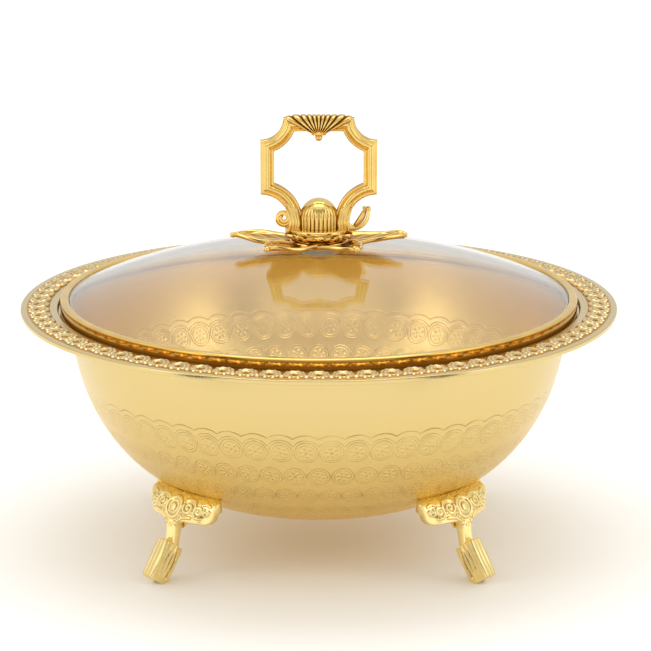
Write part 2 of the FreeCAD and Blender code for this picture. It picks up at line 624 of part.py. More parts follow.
def leaf_rosette():
    hub = disc(LEAF_HUB, LEAF_Z, LEAF_HUB_THICK)
    leaves = [leaf(azimuth, LEAF_SPAN - shorter, tip_rise) for azimuth, shorter, tip_rise in LEAVES]
    return fuse_all([hub] + leaves).cut(disc(SEAL_RADIUS, LEAF_Z - 1, 1)).cut(screw_hole())


def petal_rosette():
    """A smaller, upturned flower between the leaves and the loop."""
    hub = disc(PETAL_HUB, PETAL_Z, PETAL_HUB_THICK)
    stations = [(PETAL_HUB * PETAL_ROOT, PETAL_ROOT_SECTION)]
    stations += [(PETAL_SPAN - PETAL_BROAD_INSET, PETAL_BROAD_SECTION), (PETAL_SPAN, PETAL_TIP_SECTION)]
    wires = [upright_section(x, half, PETAL_Z + low, PETAL_Z + high) for x, (half, low, high) in stations]
    petal = Part.makeLoft(wires, True, True)
    turns = [(index + 0.5) * 360.0 / PETAL_COUNT for index in range(PETAL_COUNT)]
    flower = fuse_all([hub] + [around(petal, turn) for turn in turns])
    return flower.cut(disc(LOOP_HUB, LOOP_Z, 2 * LOOP_HUB_THICK)).cut(screw_hole())


def loop_outline(inset):
    """The loop's outline moved inward by an inset, with its feet running down into the hub."""
    notch_top_z = LOOP_TOP
    notch_foot_z = LOOP_HUB_TOP + FOOT_RISE
    side = LOOP_HALF_WIDTH - inset
    top_radius = TOP_NOTCH + inset
    foot_radius = FOOT_NOTCH + inset
    top_reach = math.sqrt(top_radius ** 2 - inset ** 2)
    foot_reach = math.sqrt(foot_radius ** 2 - inset ** 2)
    root = math.sqrt(0.5)

    def at(x, z):
        return Vector(x, 0, z)

    foot_low = at(LOOP_HALF_WIDTH - foot_radius, LOOP_HUB_TOP - 1)
    foot_start = at(LOOP_HALF_WIDTH - foot_radius, notch_foot_z)
    foot_middle = at(LOOP_HALF_WIDTH - foot_radius * root, notch_foot_z + foot_radius * root)
    side_low = at(side, notch_foot_z + foot_reach)
    side_high = at(side, notch_top_z - top_reach)
    top_middle = at(LOOP_HALF_WIDTH - top_radius * root, notch_top_z - top_radius * root)
    top_end = at(LOOP_HALF_WIDTH - top_reach, LOOP_TOP - inset)
    half = [line(at(0, foot_low.z), foot_low), line(foot_low, foot_start)]
    half += [arc(foot_start, foot_middle, side_low), line(side_low, side_high)]
    half += [arc(side_high, top_middle, top_end), line(top_end, at(0, top_end.z))]
    other = [edge.mirror(ORIGIN, Vector(1, 0, 0)) for edge in half]
    return Part.Face(Part.Wire(Part.__sortEdges__(half + other)))


def loop_band(inset, width, depth):
    return slab(loop_outline(inset), depth).cut(slab(loop_outline(inset + width), 2 * depth))


def handle_loop():
    bar = loop_band(0.0, LOOP_BAR, LOOP_THICK)
    rib = loop_band(LOOP_RIB_INSET, LOOP_BAR - 2 * LOOP_RIB_INSET, LOOP_RIB)
    hub = disc(LOOP_HUB, LOOP_Z, LOOP_HUB_THICK)
    inside_hub = disc(DOME_RADIUS + DOME_GAP, LOOP_HUB_TOP, DOME_HEIGHT)
    return fuse_all([bar, rib]).cut(inside_hub).fuse(hub).removeSplitter().cut(screw_hole())


def shell_crest(loop):
    """The shell on the top bar: a fan that wraps the bar, with a pendant below it."""
    shoulder = LOOP_TOP - CREST_SHOULDER
    root = LOOP_TOP - LOOP_BAR - CREST_PENDANT_ROOT
    side = LOOP_TOP - LOOP_BAR + CREST_SIDE_RISE
    half = CREST_PENDANT_HALF
    tip = LOOP_TOP - CREST_PENDANT
    edges = [
        arc(Vector(-CREST_SPAN, 0, shoulder), Vector(0, 0, CREST_TOP), Vector(CREST_SPAN, 0, shoulder)),
        arc(Vector(CREST_SPAN, 0, shoulder), Vector(CREST_SIDE_HALF, 0, side), Vector(half, 0, root)),
        arc(Vector(half, 0, root), Vector(0, 0, tip), Vector(-half, 0, root)),
        arc(Vector(-half, 0, root), Vector(-CREST_SIDE_HALF, 0, side), Vector(-CREST_SPAN, 0, shoulder)),
    ]
    fan = slab(Part.Face(Part.Wire(edges)), CREST_THICK)
    return fan.cut(loop)


def fluted_dome():
    shoulder = LOOP_HUB_TOP + DOME_HEIGHT - DOME_RADIUS
    top = LOOP_HUB_TOP + DOME_HEIGHT
    root = math.sqrt(0.5)
    edges = [
        line(Vector(0, 0, LOOP_HUB_TOP), Vector(DOME_RADIUS, 0, LOOP_HUB_TOP)),
        line(Vector(DOME_RADIUS, 0, LOOP_HUB_TOP), Vector(DOME_RADIUS, 0, shoulder)),
        arc(Vector(DOME_RADIUS, 0, shoulder), Vector(DOME_RADIUS * root, 0, shoulder + DOME_RADIUS * root),
            Vector(0, 0, top)),
        line(Vector(0, 0, top), Vector(0, 0, LOOP_HUB_TOP)),
    ]
    flute = disc(FLUTE_RADIUS, LOOP_HUB_TOP - 1, DOME_HEIGHT - FLUTE_TOP + 1)
    flute.translate(Vector(DOME_RADIUS + FLUTE_RADIUS / 2, 0, 0))
    flutes = [around(flute, index * 360.0 / DOME_FLUTES) for index in range(DOME_FLUTES)]
    bore = disc(SCREW_RADIUS, LOOP_HUB_TOP - 1, SCREW_IN_DOME + 1)
    return spin(edges).cut(Part.makeCompound(flutes)).cut(bore)


def ring_slab(centre, outer, inner, depth):
    """A flat ring or, with no inner radius, a disc, square to the front-to-back direction."""
    blank = Part.makeCylinder(outer, depth, centre - Vector(0, depth / 2, 0), Vector(0, 1, 0))
    if inner:
        blank = blank.cut(Part.makeCylinder(inner, 2 * depth, centre - Vector(0, depth, 0), Vector(0, 1, 0)))
    return blank


def scroll_left(neighbours):
    """A closed scroll beside the left foot of the loop."""
    foot_radius = FOOT_NOTCH + LOOP_RIB_INSET
    foot_x = LOOP_HALF_WIDTH - foot_radius
    centre = Vector(-foot_x - CURL_RADIUS - CURL_GAP, 0, LOOP_HUB_TOP + CURL_RISE)
    band = ring_slab(centre, CURL_RADIUS, CURL_RADIUS - CURL_BAND, CURL_DEPTH)
    web = ring_slab(centre, CURL_RADIUS, 0, CURL_WEB)
    eye = ring_slab(centre, CURL_EYE, 0, CURL_DEPTH)
    return largest(fuse_all([band, web, eye]).cut(neighbours))


def scroll_right(neighbours):
    """An open scroll beside the right foot of the loop, with a blade inside it and a rolled tip."""
    centre = Vector(HOOK_X, 0, LOOP_HUB_TOP + HOOK_RISE)
    inner = HOOK_RADIUS - HOOK_BAND

    def at(radius, degrees):
        angle = math.radians(degrees)
        return centre + Vector(radius * math.cos(angle), 0, radius * math.sin(angle))

    middle = (HOOK_START + HOOK_END) / 2
    outside = arc(at(HOOK_RADIUS, HOOK_START), at(HOOK_RADIUS, middle), at(HOOK_RADIUS, HOOK_END))
    inside = arc(at(inner, HOOK_END), at(inner, middle), at(inner, HOOK_START))
    ends = [line(at(HOOK_RADIUS, HOOK_END), at(inner, HOOK_END))]
    ends += [line(at(inner, HOOK_START), at(HOOK_RADIUS, HOOK_START))]
    hook = slab(Part.Face(Part.Wire([outside, ends[0], inside, ends[1]])), CURL_DEPTH)
    tip = ring_slab(at(HOOK_RADIUS - HOOK_BAND / 2, HOOK_END), HOOK_TIP, 0, CURL_DEPTH + 2 * HOOK_TIP_PROUD)
    sunk = inner + HOOK_BAND / 2
    blade_edge = [at(sunk, angle) for angle in BLADE_ANGLES]
    blade_edge.append(at(inner * BLADE_TIP_REACH, BLADE_TIP_ANGLE))
    blade = slab(polygon_face(blade_edge), CURL_WEB)
    return largest(fuse_all([hook, tip, blade]).cut(neighbours))


def largest(shape):
    return max(shape.Solids, key=lambda solid: solid.Volume)


# ---------------------------------------------------------------- build
def build():
    os.makedirs("parts", exist_ok=True)
    envelope = bowl_envelope()
    shell = bowl_shell()
    export("bowl_shell", shell)
    export("rim_band", rim_band())
    one_leg = leg(envelope)
    for place, azimuth in LEG_AZIMUTHS.items():
        export("leg_" + place, around(one_leg, azimuth))
    export("leg_screws", leg_screws())
    export("leg_seals", leg_seals())
    glass = lid_glass()
    export("lid_glass", glass)
    export("lid_ring", lid_ring(glass))
    export("seal_upper", seal_upper(glass))
    export("seal_lower", seal_lower(glass))
    export("clamp_washer", clamp_washer())
    export("handle_screw", handle_screw())
    leaves = leaf_rosette()
    petals = petal_rosette()
    loop = handle_loop()
    export("leaf_rosette", leaves)
    export("petal_rosette", petals)
    export("handle_loop", loop)
    export("shell_crest", shell_crest(loop))
    export("fluted_dome", fluted_dome())
    around_scrolls = Part.makeCompound([petals, loop])
    export("scroll_left", scroll_left(around_scrolls))
    export("scroll_right", scroll_right(around_scrolls))


build()
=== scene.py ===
import math

import bpy
import numpy as np
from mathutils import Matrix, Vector


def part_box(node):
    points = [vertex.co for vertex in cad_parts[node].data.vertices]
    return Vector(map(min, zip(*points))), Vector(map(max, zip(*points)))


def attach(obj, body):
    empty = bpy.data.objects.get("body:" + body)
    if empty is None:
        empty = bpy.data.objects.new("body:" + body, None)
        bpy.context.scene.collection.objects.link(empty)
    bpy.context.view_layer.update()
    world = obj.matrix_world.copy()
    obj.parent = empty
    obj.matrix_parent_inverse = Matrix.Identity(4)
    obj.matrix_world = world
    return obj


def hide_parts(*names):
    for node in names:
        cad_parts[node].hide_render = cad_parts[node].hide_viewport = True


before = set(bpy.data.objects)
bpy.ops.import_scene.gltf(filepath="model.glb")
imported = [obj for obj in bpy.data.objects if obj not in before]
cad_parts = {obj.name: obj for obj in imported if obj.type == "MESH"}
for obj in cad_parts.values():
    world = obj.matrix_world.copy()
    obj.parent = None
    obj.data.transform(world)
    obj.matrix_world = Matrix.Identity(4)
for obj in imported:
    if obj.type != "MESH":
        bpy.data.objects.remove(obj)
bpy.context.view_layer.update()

# Builders work in millimetres in the row frame, and mesh_object() scales to metres.
MM = 0.001
TAU = 2.0 * math.pi


def node_box(node):
    """Lowest and highest corner of a CAD node at rest, in millimetres."""
    low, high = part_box(node)
    return np.array(low) / MM, np.array(high) / MM


# ---------------------------------------------------------------- sizes read from the frame
shell_high = node_box("bowl_shell")[1]
band_low, band_high = node_box("rim_band")
ring_low, ring_high = node_box("lid_ring")
glass_high = node_box("lid_glass")[1]
loop_low, loop_high = node_box("handle_loop")
crest_low, crest_high = node_box("shell_crest")
dome_low, dome_high = node_box("fluted_dome")
leaf_low, leaf_high = node_box("leaf_rosette")
petal_low, petal_high = node_box("petal_rosette")

SHEET = 0.9
RIM_RADIUS = shell_high[0]
FLANGE_Z = shell_high[2]
LEDGE_Z = ring_low[2]
LID_RADIUS = ring_high[0]
LID_GAP = 1.5
LEDGE_WIDTH = 7.0
RECESS_RADIUS = LID_RADIUS + LID_GAP
WALL_RADIUS = RECESS_RADIUS - LEDGE_WIDTH
LIP_DROP = 2.6
BAND_HEIGHT = band_high[2] - band_low[2]
FAN_COUNT = 78
FLANGE_INNER = 4.5     # smooth inner edge of the flange, inside the ornament
BAND_INNER = RECESS_RADIUS + FLANGE_INNER
BAND_WIDTH = 13.4


# ---------------------------------------------------------------- mesh helpers
def mesh_object(name, verts, faces, material, sharp=40.0, shade=None):
    """A mesh in the scene. Its painted shade goes into the "relief" layer: 0 in a deep hollow, 1 in the
    open.
    """
    mesh = bpy.data.meshes.new(name)
    mesh.from_pydata((np.asarray(verts) * MM).tolist(), [], faces)
    mesh.update()
    if shade is not None:
        level = np.asarray(shade, dtype=np.float32)
        layer = mesh.color_attributes.new("relief", "FLOAT_COLOR", "POINT")
        colours = np.stack([level, level, level, np.ones_like(level)], axis=-1)
        layer.data.foreach_set("color", colours.ravel())
    mesh.shade_smooth()
    if sharp:
        mesh.set_sharp_from_angle(angle=math.radians(sharp))
    mesh.materials.append(material)
    obj = bpy.data.objects.new(name, mesh)
    bpy.context.scene.collection.objects.link(obj)
    return obj


def grid_faces(rows, cols, close_rows=False, close_cols=False, flip=False, start=0):
    """Quads over a rows x cols grid of vertices, numbered row by row."""
    i = np.arange(rows if close_rows else rows - 1)
    j = np.arange(cols if close_cols else cols - 1)
    i, j = np.meshgrid(i, j, indexing="ij")
    i2, j2 = (i + 1) % rows, (j + 1) % cols
    quads = np.stack([i * cols + j, i * cols + j2, i2 * cols + j2, i2 * cols + j], axis=-1).reshape(-1, 4)
    if flip:
        quads = quads[:, ::-1]
    return (quads + start).tolist()


def cap_fan(ring, centre, flip=False):
    """Triangles from a ring of vertex numbers to a centre vertex."""
    faces = [[a, b, centre] for a, b in zip(ring, ring[1:] + ring[:1])]
    return [f[::-1] for f in faces] if flip else faces


class Shape:
    """Collects grids of points into one mesh, with a painted shade for each point."""

    def __init__(self):
        self.verts = []
        self.faces = []
        self.shade = []

    def grid(self, points, close_rows=False, close_cols=False, flip=False, shade=None):
        points = np.asarray(points, dtype=float)
        rows, cols = points.shape[:2]
        start = len(self.verts)
        self.verts.extend(points.reshape(-1, 3).tolist())
        self.shade.extend((np.ones(rows * cols) if shade is None else np.asarray(shade).ravel()).tolist())
        self.faces.extend(grid_faces(rows, cols, close_rows, close_cols, flip, start))
        return start

    def cap(self, start, count, flip=False):
        """Close a ring of count vertices that starts at a number with a fan to its middle."""
        ring = list(range(start, start + count))
        middle = np.mean([self.verts[k] for k in ring], axis=0)
        self.verts.append(middle.tolist())
        self.shade.append(self.shade[start])
        self.faces.extend(cap_fan(ring, len(self.verts) - 1, flip))

    def tube(self, sections, flip=False, shade=None):
        """A closed tube through rings of points, capped at both ends."""
        sections = np.asarray(sections, dtype=float)
        rows, cols = sections.shape[:2]
        start = self.grid(sections, close_cols=True, flip=flip, shade=shade)
        self.cap(start, cols, flip=not flip)
        self.cap(start + (rows - 1) * cols, cols, flip=flip)

    def ball(self, centre, radius, squash=(1.0, 1.0, 1.0), rings=10, segments=18):
        polar = np.linspace(0.0, math.pi, rings + 1)[1:-1]
        turn = np.arange(segments) / segments * TAU
        unit = np.stack([
            np.outer(np.sin(polar), np.cos(turn)), np.outer(np.sin(polar), np.sin(turn)),
            np.outer(np.cos(polar), np.ones(segments))], axis=-1)
        points = np.asarray(centre) + unit * radius * np.asarray(squash)
        self.tube(points[::-1])

    def build(self, name, material, sharp=40.0):
        return mesh_object(name, self.verts, self.faces, material, sharp, self.shade)


def fillet_path(corners, radius, steps=5):
    """A polyline through the corners with each inner corner rounded by an arc of at most a radius."""
    corners = [np.array(c, dtype=float) for c in corners]
    path = [corners[0]]
    for before, corner, after in zip(corners, corners[1:], corners[2:]):
        a, b = before - corner, after - corner
        la, lb = np.linalg.norm(a), np.linalg.norm(b)
        a, b = a / la, b / lb
        half = math.acos(np.clip(a @ b, -1, 1)) / 2
        if half > math.radians(88):
            path.append(corner)
            continue
        cut = min(radius / math.tan(half), 0.45 * la, 0.45 * lb)
        real = cut * math.tan(half)
        centre = corner + (a + b) / np.linalg.norm(a + b) * real / math.sin(half)
        start, end = corner + a * cut - centre, corner + b * cut - centre
        for k in range(steps + 1):
            mix = start * (1 - k / steps) + end * (k / steps)
            path.append(centre + mix / np.linalg.norm(mix) * real)
    path.append(corners[-1])
    return np.array(path)


def path_length(path):
    """Length along a polyline at each of its points."""
    return np.concatenate([[0.0], np.cumsum(np.linalg.norm(np.diff(path, axis=0), axis=1))])


def lathe(profile, segments):
    """Points of a profile of (radius, height) turned about the axis: rows follow the profile."""
    turn = np.arange(segments) / segments * TAU
    return polar_points(profile[:, :1], turn, np.repeat(profile[:, 1:], segments, axis=1))


def arc_points(centre, radius, angle):
    """Points round a centre in a plane, at radii and angles that match one by one."""
    return np.stack([centre[0] + radius * np.cos(angle), centre[1] + radius * np.sin(angle)], axis=-1)


def polar_points(radius, angle, height):
    """Points in space from cylindrical coordinates."""
    return np.stack([radius * np.cos(angle), radius * np.sin(angle), height], axis=-1)


def smoothstep(low, high, value):
    share = np.clip((value - low) / (high - low), 0.0, 1.0)
    return share * share * (3.0 - 2.0 * share)


def bump_line(distance, width):
    """A rounded ridge: 1 on the line, 0 at the given half width and beyond."""
    return np.sqrt(np.clip(1.0 - (distance / width) ** 2, 0.0, 1.0))


def turn_z(points, degrees):
    angle = math.radians(degrees)
    c, s = math.cos(angle), math.sin(angle)
    points = np.asarray(points, dtype=float)
    out = points.copy()
    out[..., 0] = c * points[..., 0] - s * points[..., 1]
    out[..., 1] = s * points[..., 0] + c * points[..., 1]
    return out


# ---------------------------------------------------------------- node helpers
class Nodes:
    """Short calls for building a material's node tree."""

    def __init__(self, name):
        self.material = bpy.data.materials.new(name)
        self.material.use_nodes = True
        self.tree = self.material.node_tree
        self.bsdf = self.tree.nodes["Principled BSDF"]

    def new(self, kind, **settings):
        node = self.tree.nodes.new(kind)
        for key, value in settings.items():
            setattr(node, key, value)
        return node

    def link(self, source, target):
        self.tree.links.new(source, target)

    def put(self, socket, value):
        if isinstance(value, (int, float, tuple, list)):
            socket.default_value = value
        else:
            self.link(value, socket)

    def math(self, operation, *values):
        node = self.new("ShaderNodeMath", operation=operation)
        for socket, value in zip(node.inputs, values):
            self.put(socket, value)
        return node.outputs[0]

    def coords(self):
        return self.new("ShaderNodeTexCoord").outputs["Object"]

    def noise(self, vector, scale, detail=3.0, roughness=0.5):
        node = self.new("ShaderNodeTexNoise")
        self.link(vector, node.inputs["Vector"])
        node.inputs["Scale"].default_value = scale
        node.inputs["Detail"].default_value = detail
        node.inputs["Roughness"].default_value = roughness
        return node.outputs["Fac"]

    def range(self, value, low, high, to_low, to_high):
        node = self.new("ShaderNodeMapRange")
        self.link(value, node.inputs["Value"])
        for key, number in zip(("From Min", "From Max", "To Min", "To Max"), (low, high, to_low, to_high)):
            node.inputs[key].default_value = number
        return node.outputs["Result"]

    def ramp(self, value, stops, mode="EASE"):
        node = self.new("ShaderNodeValToRGB")
        self.link(value, node.inputs["Fac"])
        ramp = node.color_ramp
        ramp.interpolation = mode
        while len(ramp.elements) < len(stops):
            ramp.elements.new(0.5)
        for element, (place, colour) in zip(ramp.elements, stops):
            element.position = place
            element.color = colour if isinstance(colour, tuple) else (colour, colour, colour, 1.0)
        return node.outputs["Color"]

    def bump(self, height, distance):
        node = self.new("ShaderNodeBump")
        node.inputs["Distance"].default_value = distance
        node.inputs["Strength"].default_value = 1.0
        self.link(height, node.inputs["Height"])
        return node.outputs["Normal"]

    def product(self, *values):
        """The product of two or more numbers or sockets."""
        result = values[0]
        for value in values[1:]:
            result = self.math("MULTIPLY", result, value)
        return result

    def blend(self, kind, share, first, second):
        """Two colours mixed, each a socket or a tuple, by a share that is a number or a socket."""
        node = self.new("ShaderNodeMixRGB", blend_type=kind)
        for socket, value in zip(node.inputs, (share, first, second)):
            self.put(socket, value)
        return node.outputs[0]

    def relief(self):
        """Painted light and shade from the mesh's layer: 0 in a deep hollow, 1 in the open."""
        return self.new("ShaderNodeAttribute", attribute_name="relief").outputs["Fac"]


class WorldNodes(Nodes):
    """The same short calls for the world's node tree."""

    def __init__(self, name):
        world = bpy.data.worlds.new(name)
        bpy.context.scene.world = world
        world.use_nodes = True
        self.tree = world.node_tree
        self.background = self.tree.nodes["Background"]


# ---------------------------------------------------------------- materials
OPAQUE = (1.0,)
GOLD_SHEET = (0.71, 0.55, 0.24)
GOLD_RIM = (0.88, 0.67, 0.32)
GOLD_CAST = (0.90, 0.63, 0.20)
GOLD_LEG = (1.0, 0.80, 0.35)
GOLD_RING = (0.90, 0.60, 0.17)
GOLD_INSIDE_PAINTED_LIGHT = (0.93, 0.69, 0.25)      # the bowl's inner face: painted light, lighter than the outside sheet
GOLD_LOWER_PAINTED_REFLECTION = (1.0, 0.69, 0.19)        # the bowl's wall towards the bottom: painted reflection of the warm shadowed floor
PAINTED_HOLLOW_SHADE = (0.16, 0.075, 0.012)         # painted shade: the gold's colour in a deep hollow
# painted shade: the gold's colour halfway out of a hollow
PAINTED_HALF_SHADE = (0.62, 0.42, 0.16)
PATCH_SHARE = 0.86                    # the plating's darker patches against its own colour
ORANGE_PEEL = 0.00016                 # height of the plating's waviness, in metres


def gold(name, colour, roughness, spread=0.06):
    """Polished gold plating: its colour and gloss vary a little; its hollows carry painted shade, darker and
    less metallic.
    """
    nodes = Nodes(name)
    coords = nodes.coords()
    broad = nodes.noise(coords, 60.0, 4.0)
    fine = nodes.noise(coords, 900.0, 2.0)
    patch = tuple(channel * PATCH_SHARE for channel in colour)
    tint = nodes.ramp(broad, [(0.3, patch + OPAQUE), (0.65, colour + OPAQUE)], "LINEAR")
    # Painted shade: by the relief layer the gold darkens and loses its metal towards the hollows.
    relief = nodes.relief()
    left = nodes.ramp(relief, [(0.0, PAINTED_HOLLOW_SHADE + OPAQUE), (0.45, PAINTED_HALF_SHADE + OPAQUE), (1.0, 1.0)])
    nodes.link(nodes.blend("MULTIPLY", 1.0, tint, left), nodes.bsdf.inputs["Base Color"])
    nodes.link(nodes.range(relief, 0.05, 0.35, 0.0, 1.0), nodes.bsdf.inputs["Metallic"])
    nodes.bsdf.inputs["Specular IOR Level"].default_value = 0.1
    nodes.link(nodes.range(fine, 0.3, 0.7, roughness, roughness + spread), nodes.bsdf.inputs["Roughness"])
    nodes.link(nodes.bump(broad, ORANGE_PEEL), nodes.bsdf.inputs["Normal"])
    return nodes.material


ROW_FIRST = 46.0       # middle of the first row of medallions, along the wall from the ledge
ROW_PITCH = 18.2
MEDALLIONS = 60
MEDALLION_PITCH = 14.3
MEDALLION_REACH = 10.0
CREST_ARC = 11.7       # radii of the border's two scalloped lines round the first row's medallions
SECOND_ARC = 8.3
BORDER_REACH = 20.0
ETCH_HEIGHT = 0.0003   # metres


def etched_pattern(nodes, across, along):
    """The etching's height: rows of ring medallions under a border of scallops."""
    def cell(offset):
        share = nodes.math("FRACT", nodes.math("ADD", across, offset))
        return nodes.product(nodes.math("SUBTRACT", share, 0.5), MEDALLION_PITCH)

    def length(x, y):
        return nodes.math("SQRT", nodes.math("ADD", nodes.product(x, x), nodes.product(y, y)))

    row = nodes.math("DIVIDE", nodes.math("SUBTRACT", along, ROW_FIRST - ROW_PITCH / 2), ROW_PITCH)
    x = cell(nodes.product(nodes.math("FLOOR", row), 0.5))
    y = nodes.product(nodes.math("SUBTRACT", nodes.math("FRACT", row), 0.5), ROW_PITCH)
    reach = nodes.math("DIVIDE", length(x, y), MEDALLION_REACH)
    rings = nodes.ramp(reach, [
        (0.00, 0.9), (0.06, 0.9), (0.10, 0.1), (0.47, 0.1), (0.51, 0.75), (0.55, 0.1), (0.63, 0.1),
        (0.67, 1.0), (0.71, 0.0)])
    petals = nodes.math("SINE", nodes.product(nodes.math("ARCTAN2", y, x), 6.0))
    flower = nodes.product(petals, nodes.ramp(reach, [(0.14, 0.0), (0.30, 1.0), (0.44, 0.0)]), 0.8)
    body = nodes.product(nodes.math("ADD", rings, flower), nodes.range(row, 0.0, 0.04, 0.0, 1.0))

    top_y = nodes.math("SUBTRACT", along, ROW_FIRST)
    top_reach = nodes.math("DIVIDE", length(cell(0.0), top_y), BORDER_REACH)
    crest, second = CREST_ARC / BORDER_REACH, SECOND_ARC / BORDER_REACH
    arcs = nodes.ramp(top_reach, [
        (0.34, 0.0), (second - 0.022, 0.0), (second, 0.9), (second + 0.022, 0.0),
        (crest - 0.03, 0.0), (crest, 1.0), (crest + 0.012, 0.0)])
    border = nodes.product(arcs, nodes.range(top_y, -4.4, -4.0, 1.0, 0.0))
    return nodes.math("MAXIMUM", body, border)


def bowl_material():
    """Satin gold sheet, etched outside and inside, with a fine grain; the flange is polished.

    The UV map holds turns x medallions across, and millimetres along the wall from the ledge.
    """
    nodes = Nodes("bowl_sheet_etched")
    uv = nodes.new("ShaderNodeUVMap", uv_map="wall")
    split = nodes.new("ShaderNodeSeparateXYZ")
    nodes.link(uv.outputs["UV"], split.inputs[0])
    across, along = split.outputs[0], split.outputs[1]
    pattern = nodes.product(etched_pattern(nodes, across, along), nodes.range(along, 50.0, 75.0, 1.0, 1.9))
    coords = nodes.coords()
    wear = nodes.noise(coords, 90.0, 4.0, 0.6)
    worn = nodes.product(pattern, nodes.range(wear, 0.30, 0.62, 0.25, 1.0))
    grain = nodes.noise(coords, 2600.0, 2.0, 0.6)
    height = nodes.math("ADD", worn, nodes.product(grain, nodes.range(along, 50.0, 110.0, 0.12, 1.5)))
    nodes.link(nodes.bump(height, ETCH_HEIGHT), nodes.bsdf.inputs["Normal"])

    # Deeper orange gold lower down: a painted reflection of the floor.
    tint = nodes.ramp(
        nodes.range(along, 20.0, 150.0, 0.0, 1.0),
        [(0.0, GOLD_SHEET + OPAQUE), (1.0, GOLD_LOWER_PAINTED_REFLECTION + OPAQUE)], "LINEAR")
    etched = nodes.blend("MULTIPLY", nodes.product(worn, 0.35), tint, (0.72, 0.66, 0.55, 1.0))
    # Painted light: the inner face (relief layer 0) takes the lighter inside gold.
    colour = nodes.blend("MIX", nodes.relief(), GOLD_INSIDE_PAINTED_LIGHT + OPAQUE, etched)
    nodes.link(colour, nodes.bsdf.inputs["Base Color"])
    nodes.bsdf.inputs["Metallic"].default_value = 1.0
    on_wall = nodes.range(along, -12.0, -4.0, 0.0, 1.0)
    wall_rough = nodes.product(nodes.range(along, 10.0, 90.0, 0.27, 0.24), on_wall)
    base_rough = nodes.math("ADD", wall_rough, nodes.range(along, -12.0, -4.0, 0.11, 0.0))
    nodes.link(nodes.math("ADD", base_rough, nodes.product(grain, 0.06)), nodes.bsdf.inputs["Roughness"])
    return nodes.material


def glass_material():
    """Clear tempered glass, faintly warm, with a trace of surface haze. Lamps shine through it."""
    nodes = Nodes("clear_glass")
    haze = nodes.noise(nodes.coords(), 25.0)
    nodes.bsdf.inputs["Base Color"].default_value = (1.0, 0.975, 0.91, 1.0)
    nodes.bsdf.inputs["Transmission Weight"].default_value = 1.0
    nodes.bsdf.inputs["IOR"].default_value = 1.5
    nodes.link(nodes.range(haze, 0.35, 0.7, 0.0, 0.035), nodes.bsdf.inputs["Roughness"])
    path = nodes.new("ShaderNodeLightPath")
    clear = nodes.new("ShaderNodeBsdfTransparent")
    clear.inputs["Color"].default_value = (0.97, 0.97, 0.96, 1.0)
    mixed = nodes.new("ShaderNodeMixShader")
    nodes.link(path.outputs["Is Shadow Ray"], mixed.inputs[0])
    nodes.link(nodes.bsdf.outputs[0], mixed.inputs[1])
    nodes.link(clear.outputs[0], mixed.inputs[2])
    nodes.link(mixed.outputs[0], nodes.tree.nodes["Material Output"].inputs["Surface"])
    return nodes.material


def seal_material():
    """Translucent white silicone with a faintly dusty, uneven surface."""
    nodes = Nodes("white_silicone")
    dust = nodes.noise(nodes.coords(), 300.0, 4.0)
    tint = nodes.ramp(dust, [(0.3, (0.78, 0.77, 0.73, 1.0)), (0.7, (0.88, 0.88, 0.85, 1.0))], "LINEAR")
    nodes.link(tint, nodes.bsdf.inputs["Base Color"])
    nodes.link(nodes.range(dust, 0.3, 0.7, 0.45, 0.6), nodes.bsdf.inputs["Roughness"])
    nodes.bsdf.inputs["Subsurface Weight"].default_value = 0.15
    nodes.bsdf.inputs["Subsurface Radius"].default_value = (0.002, 0.002, 0.002)
    nodes.link(nodes.bump(dust, 0.00005), nodes.bsdf.inputs["Normal"])
    return nodes.material


def steel_material():
    """Gold-coloured machined steel with fine turning marks about the vertical."""
    nodes = Nodes("gold_machined_steel")
    marks = nodes.noise(nodes.coords(), 1500.0, 2.0)
    tint = nodes.ramp(marks, [(0.3, (0.66, 0.49, 0.24, 1.0)), (0.7, (0.82, 0.64, 0.34, 1.0))], "LINEAR")
    nodes.link(tint, nodes.bsdf.inputs["Base Color"])
    nodes.bsdf.inputs["Metallic"].default_value = 1.0
    nodes.link(nodes.range(marks, 0.3, 0.7, 0.22, 0.34), nodes.bsdf.inputs["Roughness"])
    nodes.link(nodes.bump(marks, 0.00003), nodes.bsdf.inputs["Normal"])
    return nodes.material


SHEET_GOLD = bowl_material()
RIM_GOLD = gold("rim_gold", GOLD_RIM, 0.16, 0.08)
CAST_GOLD = gold("handle_gold", GOLD_CAST, 0.10, 0.06)
LEG_GOLD = gold("leg_gold", GOLD_LEG, 0.12, 0.08)
RING_GOLD = gold("ring_gold", GOLD_RING, 0.08, 0.04)
GLASS = glass_material()
SEAL = seal_material()
STEEL = steel_material()


# ---------------------------------------------------------------- bowl
WALL_CROWN = 3.6
WALL_POWER_R = 2.915
WALL_POWER_Z = 2.054
WALL_TOP_Z = LEDGE_Z + WALL_CROWN
FLOOR_GAP = 25.0
WALL_DEPTH = WALL_TOP_Z - FLOOR_GAP
BOTTOM_FLAT = 30.0


def wall_z(radius):
    """Height of the wall's outer face at a radius."""
    share = 1.0 - (radius / WALL_RADIUS) ** WALL_POWER_R
    return WALL_TOP_Z - WALL_DEPTH * share ** (1.0 / WALL_POWER_Z)


def wall_profile(top, inset, steps):
    """The wall from the edge of the bottom's flat up to a height, as (radius, height)."""
    first = math.asin((BOTTOM_FLAT / (WALL_RADIUS - inset)) ** (WALL_POWER_R / 2))
    last = math.acos(((WALL_TOP_Z - top) / (WALL_DEPTH - inset)) ** (WALL_POWER_Z / 2))
    angle = np.linspace(first, last, steps)
    radius = (WALL_RADIUS - inset) * np.sin(angle) ** (2.0 / WALL_POWER_R)
    height = WALL_TOP_Z - (WALL_DEPTH - inset) * np.cos(angle) ** (2.0 / WALL_POWER_Z)
    return np.stack([radius, height], axis=-1)


